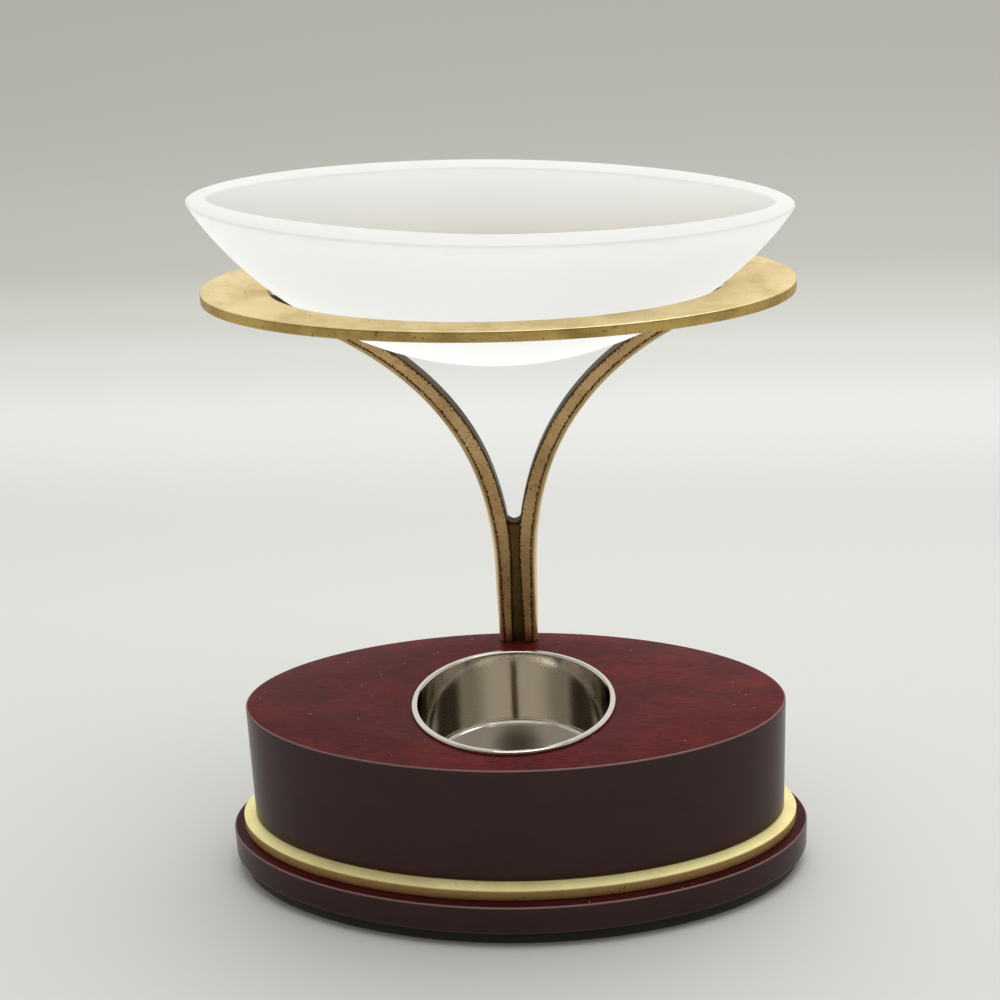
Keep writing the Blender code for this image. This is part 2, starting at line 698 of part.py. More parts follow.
def arm_path():
    """The right arm's centre line from its foot, as points (x, height above the block)."""
    foot = Vector((ARM_FOOT_X, SEAT_GAP))
    bend = Vector((ARM_FOOT_X, POST_STRAIGHT))
    slope = Vector((math.cos(ARM_END_SLOPE), math.sin(ARM_END_SLOPE)))
    end = Vector((arm_reach(), RING_BOTTOM - BLOCK_TOP))
    sweep = interpolate_bezier(
        bend,
        bend + Vector((0.0, ARM_RISE_PULL)),
        end - slope * ARM_END_PULL,
        end,
        ARM_STEPS + 1,
    )
    return [foot] + list(sweep) + [end + slope * ARM_OVERRUN]


def arm_section(width):
    """The bar's section as points (across, deep): round on its outer side, crisper inside."""
    half_width = width / 2
    half_depth = ARM_DEPTH / 2
    corners = (
        (1, 1, ARM_OUTER_ROUND, 0),
        (-1, 1, ARM_INNER_ROUND, 90),
        (-1, -1, ARM_INNER_ROUND, 180),
        (1, -1, ARM_OUTER_ROUND, 270),
    )
    points = []
    for across, deep, radius, start in corners:
        centre = (across * (half_width - radius), deep * (half_depth - radius))
        points += arc(centre, radius, start, start + 90)
    return points


def forward_sweep(x):
    """How far forward the arms have swept at a distance from the middle, to meet the ring."""
    run = max(abs(x) - SWEEP_START, 0.0)
    full_run = arm_reach() - SWEEP_START
    steepness = (POST_Y - RING_OFFSET_Y) * (full_run + SWEEP_SOFTNESS) / full_run ** 2
    return steepness * run ** 2 / (run + SWEEP_SOFTNESS)


def make_arm(name, side):
    """One bar: up beside the middle strip, then out and forward to the ring's wide end."""
    path = arm_path()
    bm = bmesh.new()
    rings = []
    for index, point in enumerate(path):
        before = path[max(index - 1, 0)]
        after = path[min(index + 1, len(path) - 1)]
        heading = (after - before).normalized()
        ring = []
        for across, deep in arm_section(arm_width(point.y)):
            x = point.x + heading.y * across
            z = BLOCK_TOP + point.y - heading.x * across
            ring.append(bm.verts.new((side * x, POST_Y + deep, z)))
        rings.append(ring)
    skin(bm, rings)
    cut_level(bm, RING_BOTTOM - SEAT_GAP)
    for vert in bm.verts:
        vert.co.y -= forward_sweep(vert.co.x)
    return finish(object_from(bm, name), BRASS)


def cut_level(bm, height):
    """Cut a solid off flat above a height."""
    geometry = bm.verts[:] + bm.edges[:] + bm.faces[:]
    bmesh.ops.bisect_plane(
        bm,
        geom=geometry,
        dist=0.001 * MM,
        plane_co=(0.0, 0.0, height),
        plane_no=(0.0, 0.0, 1.0),
        clear_outer=True,
    )
    open_edges = [edge for edge in bm.edges if edge.is_boundary]
    bmesh.ops.edgeloop_fill(bm, edges=open_edges)
    bmesh.ops.recalc_face_normals(bm, faces=bm.faces)


def inner_edge(height):
    """The distance from the middle to a bar's inner side at a height above the block."""
    path = arm_path()
    for lower, upper in zip(path, path[1:]):
        if lower.y <= height <= upper.y:
            heading = (upper - lower).normalized()
            centre = lower + (upper - lower) * (height - lower.y) / (upper.y - lower.y)
            return centre.x - arm_width(height) / 2 / heading.y
    return ARM_FOOT_X - ARM_FOOT_WIDTH / 2


def web_outline():
    """The strip between the bars, seen from the front, with a dipped saddle on top."""
    heights = [SEAT_GAP, POST_STRAIGHT, (POST_STRAIGHT + FORK_HEIGHT) / 2, FORK_HEIGHT]
    right = [(inner_edge(height) - BRAZE_GAP, height) for height in heights]
    right[0] = (right[0][0], -CUT_MARGIN)
    left = [(-x, height) for x, height in reversed(right)]
    return right + [(0.0, FORK_HEIGHT - SADDLE_DIP)] + left


def make_stem_web():
    """The middle strip of the post, with the tenon that the post screw pulls on."""
    front = POST_FRONT_Y + WEB_SETBACK
    back = POST_BACK_Y - WEB_BACK_INSET
    part = plate("stem_web", [web_outline()], -(back - front) / 2, (back - front) / 2)
    stand_up = Matrix.Translation((0.0, (front + back) / 2, BLOCK_TOP))
    part.data.transform(stand_up @ Matrix.Rotation(math.radians(90.0), 4, "X"))
    tenon_size = (TENON_WIDTH, TENON_THICKNESS, TENON_LENGTH)
    tenon = box("post_tenon", tenon_size, (0.0, POST_Y, BLOCK_TOP - TENON_LENGTH / 2))
    add_boolean(part, tenon, "UNION")
    hole = rod(
        "tenon_hole",
        POST_SCREW_RADIUS + THREAD_CLEARANCE,
        TENON_BOTTOM - CUT_MARGIN,
        post_screw_end() + POST_SCREW_END_SPACE,
        (0.0, POST_Y),
    )
    add_boolean(part, hole)
    return finish(part, BRASS)


def build():
    make_felt_pad()
    make_plinth()
    make_trim_band()
    make_wood_block()
    make_tealight_cup()
    make_stem_web()
    make_arm("left_arm", -1)
    make_arm("right_arm", 1)
    make_bowl_ring()
    make_glass_bowl()
    make_post_screw()
    make_post_washer()
    for side, x in plinth_screw_places():
        make_plinth_screw(side, x)


build()
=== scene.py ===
# %% [markdown]
# # A tealight oil burner
# A small flame stands in a metal cup, sunk into an oval wood base. Above it a brass post forks into
# two bars, which carry a ring, and in the ring sits a loose bowl of white glass for scented oil.
# This script dresses the plain solids of that burner with finer pieces and real finishes.

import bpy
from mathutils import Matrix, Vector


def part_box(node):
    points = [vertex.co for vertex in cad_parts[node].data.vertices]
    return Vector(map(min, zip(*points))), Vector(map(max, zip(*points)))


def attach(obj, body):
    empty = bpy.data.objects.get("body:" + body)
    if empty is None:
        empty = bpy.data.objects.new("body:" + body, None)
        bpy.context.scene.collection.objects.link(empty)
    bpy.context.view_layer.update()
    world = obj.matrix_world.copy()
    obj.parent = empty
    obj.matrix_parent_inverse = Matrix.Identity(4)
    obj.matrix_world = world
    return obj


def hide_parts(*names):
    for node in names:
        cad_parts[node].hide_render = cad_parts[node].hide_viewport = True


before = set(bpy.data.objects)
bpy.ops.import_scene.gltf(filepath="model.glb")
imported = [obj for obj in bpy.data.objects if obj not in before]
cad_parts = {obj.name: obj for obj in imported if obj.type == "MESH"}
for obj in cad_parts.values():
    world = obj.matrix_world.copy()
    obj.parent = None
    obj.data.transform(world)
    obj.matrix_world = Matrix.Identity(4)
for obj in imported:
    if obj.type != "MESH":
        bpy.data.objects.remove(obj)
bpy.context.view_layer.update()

# %% Tools from Blender and Python
import math

import bmesh
import bpy
from mathutils import Matrix, Vector
from mathutils.geometry import interpolate_bezier

MM = 0.001

# %% [markdown]
# ## Places that the frame gives
# The solids already stand where they belong, so each height is read from them. Only what a box
# can't tell, such as a slope or a fillet, is written down further on.

# %% Read the stack's heights
def box_corners(node):
    """A node's lowest and highest corner."""
    return [Vector(corner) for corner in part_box(node)]


BLOCK_LOW, BLOCK_HIGH = box_corners("wood_block")
BAND_LOW, BAND_HIGH = box_corners("trim_band")
PLINTH_LOW, PLINTH_HIGH = box_corners("plinth")
FELT_LOW, FELT_HIGH = box_corners("felt_pad")
CUP_LOW, CUP_HIGH = box_corners("tealight_cup")
RING_LOW, RING_HIGH = box_corners("bowl_ring")
WEB_LOW, WEB_HIGH = box_corners("stem_web")
BLOCK_TOP = BLOCK_HIGH.z
RING_TOP = RING_HIGH.z
print("block top %.1f mm, ring top %.1f mm" % (BLOCK_TOP / MM, RING_TOP / MM))

# %% [markdown]
# ## Small helpers
# A colour is picked as the eye sees it, as a hex value, while Blender computes with linear light,
# so one function turns the first into the second. Another adds a node with its settings and links
# and gives one of its outputs, which keeps each material to a few readable lines.
# A Mix node has a set of sockets for each kind of value, all with the same names, so the ones for
# colours are reached by number.

# %% Colours and nodes
SHARE, UNDER, OVER, MIXED = 0, 6, 7, 2


def colour(hex_value):
    """An sRGB hex colour as linear red, green, blue and alpha."""
    channels = [int(hex_value[place:place + 2], 16) / 255 for place in (1, 3, 5)]
    linear = []
    for value in channels:
        linear.append(value / 12.92 if value <= 0.04045 else ((value + 0.055) / 1.055) ** 2.4)
    return (*linear, 1.0)


def feed(node, inputs):
    """Give each named input of a node a value, or a link where the value is a socket."""
    for name, value in inputs.items():
        if isinstance(value, bpy.types.NodeSocket):
            node.id_data.links.new(value, node.inputs[name])
        else:
            node.inputs[name].default_value = value


def add_node(tree, kind, inputs, give=0, **settings):
    """Add a node, set its options, feed its inputs, and give one of its outputs."""
    node = tree.nodes.new(kind)
    for name, value in settings.items():
        setattr(node, name, value)
    feed(node, inputs)
    return node.outputs[give]


def new_material(name, shader_values):
    """A material with plain values on its shader. Gives it, its tree, shader and coordinates."""
    surface = bpy.data.materials.new(name)
    surface.use_nodes = True
    tree = surface.node_tree
    shader = tree.nodes["Principled BSDF"]
    feed(shader, shader_values)
    return surface, tree, shader, add_node(tree, "ShaderNodeTexCoord", {}, "Object")


print("mid grey #808080 is %.3f in linear light" % colour("#808080")[0])

# %% [markdown]
# ## The camera
# The photograph was taken from a little to the right and well above, with a slight tilt. The
# camera's place and angles come from fitting the ovals of the base, the cup and the ring. A new
# camera looks straight down, so it is first turned up until it looks level.

# %% Place the camera
CAMERA_PLACE = Vector((26.1, -409.9, 277.0)) * MM
CAMERA_TURN = math.radians(3.80)
CAMERA_DOWN = math.radians(24.99)
CAMERA_TILT = math.radians(-2.51)
CAMERA_LENS = 80.8
SENSOR_WIDTH = 36.0

camera = bpy.data.objects.new("camera", bpy.data.cameras.new("camera"))
camera.data.lens = CAMERA_LENS
camera.data.sensor_width = SENSOR_WIDTH
turn = Matrix.Rotation(CAMERA_TURN, 4, "Z")
look_down = Matrix.Rotation(math.pi / 2 - CAMERA_DOWN, 4, "X")
tilt = Matrix.Rotation(CAMERA_TILT, 4, "Z")
camera.matrix_world = Matrix.Translation(CAMERA_PLACE) @ turn @ look_down @ tilt
bpy.context.scene.collection.objects.link(camera)
bpy.context.scene.camera = camera
print("camera looks down by %.1f degrees" % math.degrees(CAMERA_DOWN))

# %% [markdown]
# ## The table
# The burner stands on a pale grey sheet of matt paper. Its fall of light is painted into the
# floor's own colour as painted shade, darker towards the back, with a painted brighter band
# behind the burner. It goes by the distance behind the burner, so that the light on the burner can
# stay even. Each stop pairs a distance in metres with a colour.

# %% Lay the floor
FLOOR_HALF = 12.0
FLOOR_NEAR = -0.4
FLOOR_FAR = 0.9
# The paper's grey with painted light and shade: brightest in a band 0.25 m back, darker beyond.
FLOOR_SHADE_STOPS = (
    (-0.10, "#D5D5D2"),
    (0.00, "#D6D6D2"),
    (0.08, "#D9D9D5"),
    (0.12, "#DBDBD7"),
    (0.17, "#D8D8D5"),
    (0.25, "#E5E6E2"),
    (0.30, "#DCDDD8"),
    (0.343, "#D2D2CC"),
    (0.40, "#C5C4BE"),
    (0.62, "#C2C1B9"),
    (0.85, "#C5C4BC"),
)

mesh = bpy.data.meshes.new("floor")
bm = bmesh.new()
bmesh.ops.create_grid(bm, x_segments=1, y_segments=1, size=FLOOR_HALF)
bm.to_mesh(mesh)
bm.free()
floor = bpy.data.objects.new("floor", mesh)
bpy.context.scene.collection.objects.link(floor)

# Matt paper has no gloss that the eye would notice.
matt = {"Roughness": 0.9, "Specular IOR Level": 0.0}
paper, tree, shader, place = new_material("matt_background_paper", matt)
away = add_node(tree, "ShaderNodeSeparateXYZ", {0: place}, "Y")
share = add_node(tree, "ShaderNodeMapRange", {"Value": away, "From Min": FLOOR_NEAR, "From Max": FLOOR_FAR})
shade = add_node(tree, "ShaderNodeValToRGB", {"Fac": share})
ramp = shade.node.color_ramp
ramp.interpolation = "EASE"
first_stops = len(ramp.elements)
for stop, (distance, tint) in enumerate(FLOOR_SHADE_STOPS):
    position = (distance - FLOOR_NEAR) / (FLOOR_FAR - FLOOR_NEAR)
    element = ramp.elements[stop] if stop < first_stops else ramp.elements.new(position)
    element.position = position
    element.color = colour(tint)
feed(shader, {"Base Color": shade})
floor.data.materials.append(paper)
print("floor is %.0f m across" % (2 * FLOOR_HALF))

# %% [markdown]
# ## The light
# Metal shows whatever is round it, so the surroundings matter as much as the lamp. The burner is
# in a white tent with one soft lamp above it. The tent is bright at the back, a little greyer in
# front, and dark only at its opening, which is low behind the camera. Both changes go by the
# direction: how far it points back, and how closely it agrees with the way to the opening.

# %% Hang the lights
ROOM_FRONT = "#BEBEBC"
ROOM_BACK = "#FFFFFF"
BACK_STARTS, BACK_FULL = -0.2, 0.6
DARK_CORNER = "#4E463D"
DARK_WAY = (0.0, -1.25, -0.45)
DARK_STARTS, DARK_FULL = 0.45, 0.75
LAMP_PLACE = Vector((0.12, -0.02, 0.94))
LAMP_SIDE = 0.6
LAMP_POWER = 4.7

world = bpy.data.worlds.new("room")
bpy.context.scene.world = world
world.use_nodes = True
tree = world.node_tree
way = add_node(tree, "ShaderNodeTexCoord", {}, "Generated")
backwards = add_node(tree, "ShaderNodeSeparateXYZ", {0: way}, "Y")
agreement = add_node(tree, "ShaderNodeVectorMath", {0: way, 1: DARK_WAY}, "Value", operation="DOT_PRODUCT")
room = colour(ROOM_FRONT)
changes = (
    (backwards, BACK_STARTS, BACK_FULL, ROOM_BACK),
    (agreement, DARK_STARTS, DARK_FULL, DARK_CORNER),
)
for measure, starts, full, tint in changes:
    share = add_node(
        tree,
        "ShaderNodeMapRange",
        {"Value": measure, "From Min": starts, "From Max": full},
        interpolation_type="SMOOTHSTEP",
    )
    layer = {SHARE: share, UNDER: room, OVER: colour(tint)}
    room = add_node(tree, "ShaderNodeMix", layer, MIXED, data_type="RGBA")
feed(tree.nodes["Background"], {"Color": room})

softbox = bpy.data.objects.new("softbox", bpy.data.lights.new("softbox", "AREA"))
softbox.data.shape = "SQUARE"
softbox.data.size = LAMP_SIDE
softbox.data.energy = LAMP_POWER
facing = LAMP_PLACE.to_track_quat("Z", "Y").to_matrix().to_4x4()
softbox.matrix_world = Matrix.Translation(LAMP_PLACE) @ facing
bpy.context.scene.collection.objects.link(softbox)
bpy.context.scene.view_settings.view_transform = "Standard"
print("softbox hangs %.2f m above the floor" % LAMP_PLACE.z)

# %% [markdown]
# ## Ovals
# Every flat piece of the burner is an oval slab. A capped circle is moved onto the oval's outline
# and then extruded from level to level, which is how a modeller would build a stepped plate. A
# rounded edge is a bevel. The large flat faces stay flat shaded, so that no bevel bends the light
# on them.

# %% Build oval slabs
OVAL_STEPS = 256
BASE_OVAL_POWER = 1.92
SUPPORT = 0.25 * MM  # Beside a rounded edge.
LEVEL_SLACK = 0.001 * MM
SHARP_ANGLE = math.radians(40.0)
FLAT_AREA = 20 * MM * MM
LEVEL_NORMAL = 0.9999


def oval_place(angle, half_length, half_width, power=2.0):
    """A point on an oval: power 2 is an ellipse, and a lower power is more pointed."""
    across = math.cos(angle)
    along = math.sin(angle)
    reach = (abs(across) ** power + abs(along) ** power) ** (-1.0 / power)
    return half_length * across * reach, half_width * along * reach


def base_outline(offset=0.0):
    """The wood block's outline, moved outwards by an offset."""
    half_length = BLOCK_HIGH.x + offset
    half_width = BLOCK_HIGH.y + offset
    return lambda angle: oval_place(angle, half_length, half_width, BASE_OVAL_POWER)


def push_out(bm, faces):
    """Extrude faces on the spot and give the new ones.

    Their edges go along, or else the old faces would stay inside.
    """
    edges = {edge for face in faces for edge in face.edges}
    grown = bmesh.ops.extrude_face_region(bm, geom=[*faces, *edges])["geom"]
    return [item for item in grown if isinstance(item, bmesh.types.BMFace)]


def stack_up(bm, stations, steps=OVAL_STEPS):
    """A solid through outlines at given heights, each station an (outline, height)."""
    turn_of = bm.verts.layers.float.new("turn")
    circle = bmesh.ops.create_circle(bm, cap_ends=True, radius=1.0, segments=steps)["verts"]
    for vert in circle:
        vert[turn_of] = math.atan2(vert.co.y, vert.co.x)
    face = circle[0].link_faces[0]
    for step, (outline, height) in enumerate(stations):
        if step:
            face = push_out(bm, [face])[0]
        for vert in face.verts:
            x, y = outline(vert[turn_of])
            vert.co = (x, y, height)
    bmesh.ops.recalc_face_normals(bm, faces=bm.faces)


def rim_edges(bm, height, least_angle=SHARP_ANGLE):
    """The sharp edges that lie level at a height."""
    sharp = [edge for edge in bm.edges if edge.calc_face_angle(0.0) > least_angle]
    return [edge for edge in sharp if all(abs(vert.co.z - height) < LEVEL_SLACK for vert in edge.verts)]


def round_edges(bm, edges, width, segments):
    """Bevel edges into a round."""
    bmesh.ops.bevel(
        bm,
        geom=edges,
        offset=width,
        segments=segments,
        profile=0.5,
        affect="EDGES",
        material=-1,
        clamp_overlap=True,
    )


def to_object(bm, name, flat_above=FLAT_AREA):
    """Turn a bmesh into an object, smooth but for its large level faces."""
    for face in bm.faces:
        face.smooth = not (abs(face.normal.z) > LEVEL_NORMAL and face.calc_area() > flat_above)
    mesh = bpy.data.meshes.new(name)
    bm.to_mesh(mesh)
    bm.free()
    piece = bpy.data.objects.new(name, mesh)
    bpy.context.scene.collection.objects.link(piece)
    return piece


def cut_out(piece, cutters):
    """Cut solids out of a piece, and remove them."""
    for cutter in cutters:
        boolean = piece.modifiers.new(cutter.name, "BOOLEAN")
        boolean.solver = "EXACT"
        boolean.object = cutter
    bpy.context.view_layer.update()
    graph = bpy.context.evaluated_depsgraph_get()
    finished = bpy.data.meshes.new_from_object(piece.evaluated_get(graph))
    piece.modifiers.clear()
    piece.data = finished
    for cutter in cutters:
        bpy.data.objects.remove(cutter)


def rod(name, radius, bottom, top, x, y, steps=48):
    """An upright round bar."""
    bm = bmesh.new()
    middle = Matrix.Translation((x, y, (bottom + top) / 2))
    bmesh.ops.create_cone(
        bm,
        cap_ends=True,
        segments=steps,
        radius1=radius,
        radius2=radius,
        depth=top - bottom,
        matrix=middle,
    )
    return to_object(bm, name)


def dress(piece, surface, slot, body, *nodes, sharp=SHARP_ANGLE):
    """Give a piece its finish and body, and let it stand for its CAD nodes. Its slot is not used."""
    piece.data.materials.clear()
    piece.data.materials.append(surface)
    piece.data.set_sharp_from_angle(angle=sharp)
    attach(piece, body)
    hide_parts(*nodes)
    spans = [[vert.co[axis] / MM for vert in piece.data.vertices] for axis in range(3)]
    sizes = "x".join("%.1f" % (max(span) - min(span)) for span in spans)
    print("%s: %s mm, %d faces" % (piece.name, sizes, len(piece.data.polygons)))


print("ovals have %d corners" % OVAL_STEPS)

# %% [markdown]
# ## Lacquered mahogany
# The base is a close-grained hardwood, stained a deep red brown and sprayed with a semi-gloss
# lacquer. The eye sees a dark red body with fine darker pores along the grain, faint cloudy
# bands, a soft veil of reflected light on the clear coat, and some specks of dust on its top. The
# sides are coloured darker than the top, and along their upper edge a pale line is a painted
# highlight. Each mark is a noise that starts to show at one value and is full at another.

# %% Mix the wood finish
PATCH_LENGTH = 16.0 * MM
PATCH_WIDTH = 6.0 * MM
RED_STARTS, RED_FULL = 0.42, 0.72
PORE_LENGTH = 2.4 * MM
PORE_WIDTH = 0.4 * MM  # Coarser than real pores, to show.
PORE_STARTS, PORE_FULL = 0.46, 0.70
PORE_SHARE = 0.75
PORE_STAIN = "#2E0C0E"
SIDE_DARK, SIDE_LIGHT = "#2A0F11", "#3B1617"
# The pale line along the upper edge of the sides is a painted highlight.
EDGE_HIGHLIGHT_DEPTH = 0.4 * MM
EDGE_HIGHLIGHT_SHARE = 0.6
EDGE_HIGHLIGHT_TINT = "#A07C78"
SPECK_SPACING = 3.2 * MM
SPECK_SIZE = 0.4 * MM
SPECK_CORE = 0.6
SPECK_SHARE = 0.85
SPECK_DUST = "#A98A86"
SKIN = 0.05 * MM
TOP_LACQUER = 0.36
SIDE_LACQUER = 0.8
PEEL_SIZE = 2.5 * MM
PEEL_DEPTH = 0.02 * MM


def round_spots(tree, place, spacing, size, core, most):
    """Round spots, full in their core and faded out at their edge."""
    cells = add_node(tree, "ShaderNodeTexVoronoi", {"Vector": place, "Scale": 1 / spacing})
    edge = size / spacing / 2
    fade = {"Value": cells, "From Min": edge * core, "From Max": edge, "To Min": most, "To Max": 0.0}
    return add_node(tree, "ShaderNodeMapRange", fade)


def lacquered_wood(name, top_height, dark, red):
    """A stained wood whose grain runs along X, under a clear coat."""
    surface, tree, shader, place = new_material(
        name,
        {"Roughness": 0.6, "Specular IOR Level": 0.0, "Coat Roughness": 0.22, "Coat IOR": 1.4},
    )
    height = add_node(tree, "ShaderNodeSeparateXYZ", {0: place}, "Z")
    on_top = add_node(
        tree,
        "ShaderNodeMapRange",
        {"Value": height, "From Min": top_height - SKIN, "From Max": top_height - SKIN / 5},
    )
    lacquer = add_node(
        tree,
        "ShaderNodeMapRange",
        {"Value": on_top, "To Min": SIDE_LACQUER, "To Max": TOP_LACQUER},
    )
    stretch = (1 / PATCH_LENGTH, 1 / PATCH_WIDTH, 1 / PATCH_WIDTH)
    patching = add_node(tree, "ShaderNodeMapping", {"Vector": place, "Scale": stretch})
    patches = add_node(
        tree,
        "ShaderNodeTexNoise",
        {"Vector": patching, "Scale": 1.0, "Detail": 3.0, "Distortion": 0.4},
    )
    redder = add_node(
        tree,
        "ShaderNodeMapRange",
        {"Value": patches, "From Min": RED_STARTS, "From Max": RED_FULL},
    )
    stretch = (1 / PORE_LENGTH, 1 / PORE_WIDTH, 1 / PORE_WIDTH)
    streaking = add_node(tree, "ShaderNodeMapping", {"Vector": place, "Scale": stretch})
    streaks = add_node(
        tree,
        "ShaderNodeTexNoise",
        {"Vector": streaking, "Scale": 1.0, "Detail": 4.0, "Roughness": 0.6},
    )
    pores = add_node(
        tree,
        "ShaderNodeMapRange",
        {"Value": streaks, "From Min": PORE_STARTS, "From Max": PORE_FULL, "To Max": PORE_SHARE},
    )
    # A painted highlight: a pale band just under the top edge.
    edge_highlight = add_node(
        tree,
        "ShaderNodeMapRange",
        {
            "Value": height,
            "From Min": top_height - EDGE_HIGHLIGHT_DEPTH,
            "From Max": top_height - EDGE_HIGHLIGHT_DEPTH / 2,
            "To Max": EDGE_HIGHLIGHT_SHARE,
        },
    )
    specks = round_spots(tree, place, SPECK_SPACING, SPECK_SIZE, SPECK_CORE, SPECK_SHARE)
    lying = add_node(tree, "ShaderNodeMath", {0: specks, 1: on_top}, operation="MULTIPLY")
    grained = colour(dark)
    for share, stain in ((redder, red), (pores, PORE_STAIN)):
        layer = {SHARE: share, UNDER: grained, OVER: colour(stain)}
        grained = add_node(tree, "ShaderNodeMix", layer, MIXED, data_type="RGBA")
    finished = colour(SIDE_DARK)
    layers = (
        (patches, colour(SIDE_LIGHT)),
        (edge_highlight, colour(EDGE_HIGHLIGHT_TINT)),
        (on_top, grained),
        (lying, colour(SPECK_DUST)),
    )
    for share, over in layers:
        layer = {SHARE: share, UNDER: finished, OVER: over}
        finished = add_node(tree, "ShaderNodeMix", layer, MIXED, data_type="RGBA")
    ripples = add_node(tree, "ShaderNodeTexNoise", {"Vector": place, "Scale": 1 / PEEL_SIZE, "Detail": 2.0})
    orange_peel = add_node(
        tree,
        "ShaderNodeBump",
        {"Height": ripples, "Strength": 0.10, "Distance": PEEL_DEPTH},
    )
    feed(shader, {"Base Color": finished, "Coat Weight": lacquer, "Coat Normal": orange_peel})
    return surface


BLOCK_WOOD = lacquered_wood("lacquered_mahogany", BLOCK_TOP, "#5A1C1E", "#70221E")
# The plinth's copy of the wood has darker top colours: painted shade from the hoop above it.
SHADED_PLINTH_WOOD = lacquered_wood("lacquered_mahogany_plinth_painted_shade", PLINTH_HIGH.z, "#3A1214", "#4A1715")
print("mahogany pores are %.2f mm wide" % (PORE_WIDTH / MM))

# %% [markdown]
# ## The wood block
# The block was cut to an oval, bored for the cup and mortised for the post. At its foot a smaller
# land sits inside the brass hoop, and its top edge is only eased. It is built up from ovals, and
# the round holes and the mortise are cut out afterwards, as a drill and a chisel would.

# %% Cut the wood block
LAND_INSET = 6.3 * MM
HOOP_GAP = 0.2 * MM
BLOCK_EDGE_ROUND = 0.5 * MM
CUP_CENTRE = (0.0, (CUP_LOW.y + CUP_HIGH.y) / 2)
CUP_BORE_RADIUS = 21.1 * MM
CUP_BORE_BOTTOM = BLOCK_TOP - 17.6 * MM
CUP_BORE_STEPS = 128
POST_Y = (WEB_LOW.y + WEB_HIGH.y) / 2
MORTISE_SIDES = (7.0 * MM, 4.0 * MM)
MORTISE_EXTRA = 0.2 * MM
POST_HOLE_RADIUS = 1.5 * MM
SCREW_X = 38.0 * MM
SCREW_HOLE_RADIUS = 2.0 * MM
PILOT_TOP = 21.5 * MM
PAST = 2.0 * MM  # A cutter's run past a face.

land = base_outline(-LAND_INSET)
side = base_outline()
block_bottom = BAND_HIGH.z + HOOP_GAP
bm = bmesh.new()
stack_up(
    bm,
    [
        (land, BLOCK_LOW.z),
        (land, block_bottom),
        (side, block_bottom),
        (side, block_bottom + SUPPORT),
        (side, BLOCK_TOP - BLOCK_EDGE_ROUND - SUPPORT),
        (side, BLOCK_TOP),
    ],
)
round_edges(bm, rim_edges(bm, BLOCK_TOP), BLOCK_EDGE_ROUND, 4)
block = to_object(bm, "mahogany_block")
mortise = bmesh.new()
mortise_size = (*MORTISE_SIDES, 2 * (BLOCK_TOP - WEB_LOW.z + MORTISE_EXTRA))
mortise_place = Matrix.Translation((0.0, POST_Y, BLOCK_TOP)) @ Matrix.Diagonal((*mortise_size, 1.0))
bmesh.ops.create_cube(mortise, size=1.0, matrix=mortise_place)
below = BLOCK_LOW.z - PAST
cut_out(
    block,
    [
        rod("bore", CUP_BORE_RADIUS, CUP_BORE_BOTTOM, BLOCK_TOP + PAST, *CUP_CENTRE, CUP_BORE_STEPS),
        to_object(mortise, "mortise"),
        rod("post_hole", POST_HOLE_RADIUS, below, WEB_LOW.z, 0.0, POST_Y),
        rod("left_pilot", SCREW_HOLE_RADIUS, below, PILOT_TOP, -SCREW_X, 0.0),
        rod("right_pilot", SCREW_HOLE_RADIUS, below, PILOT_TOP, SCREW_X, 0.0),
    ],
)
dress(block, BLOCK_WOOD, "lacquered_wood", "stand", "wood_block")

# %% [markdown]
# ## The plinth
# The plinth is the same oval, a little larger, with a crisp top edge and a rounder foot. It is
# drilled for the three screws, and sunk below so that their heads stay above the felt.

# %% Cut the plinth
PLINTH_TOP_ROUND = 0.4 * MM
PLINTH_FOOT_ROUND = 1.3 * MM
COUNTERBORE_RADIUS = 3.3 * MM
COUNTERBORE_TOP = 6.2 * MM
SINK_RADIUS = 3.6 * MM
SINK_TOP = 5.4 * MM

side = base_outline(PLINTH_HIGH.x - BLOCK_HIGH.x)
bm = bmesh.new()
stack_up(
    bm,
    [
        (side, PLINTH_LOW.z),
        (side, PLINTH_LOW.z + PLINTH_FOOT_ROUND + SUPPORT),
        (side, PLINTH_HIGH.z - PLINTH_TOP_ROUND - SUPPORT),
        (side, PLINTH_HIGH.z),
    ],
)
round_edges(bm, rim_edges(bm, PLINTH_HIGH.z), PLINTH_TOP_ROUND, 3)
round_edges(bm, rim_edges(bm, PLINTH_LOW.z), PLINTH_FOOT_ROUND, 6)
plinth = to_object(bm, "mahogany_plinth")
below = PLINTH_LOW.z - PAST
above = PLINTH_HIGH.z + PAST
cutters = [
    rod("counterbore", COUNTERBORE_RADIUS, below, COUNTERBORE_TOP, 0.0, POST_Y),
    rod("post_way", POST_HOLE_RADIUS, below, above, 0.0, POST_Y),
]
for end, x in (("left", -SCREW_X), ("right", SCREW_X)):
    cutters.append(rod(end + "_sink", SINK_RADIUS, below, SINK_TOP, x, 0.0))
    cutters.append(rod(end + "_way", SCREW_HOLE_RADIUS, below, above, x, 0.0))
cut_out(plinth, cutters)
dress(plinth, SHADED_PLINTH_WOOD, "lacquered_wood", "stand", "plinth")

# %% [markdown]
# ## Felt under the plinth
# A pad of dark pressed wool keeps the base from marking the table. Felt has no gloss, and only
# its fuzzy edge shows, so its fibres are a fine matt bump and its rim is a little soft.

# %% Press the felt
FIBRE_LENGTH = 0.9 * MM  # Coarser than real wool, to show.
FIBRE_DEPTH = 0.15 * MM
FELT_EDGE_ROUND = 0.5 * MM

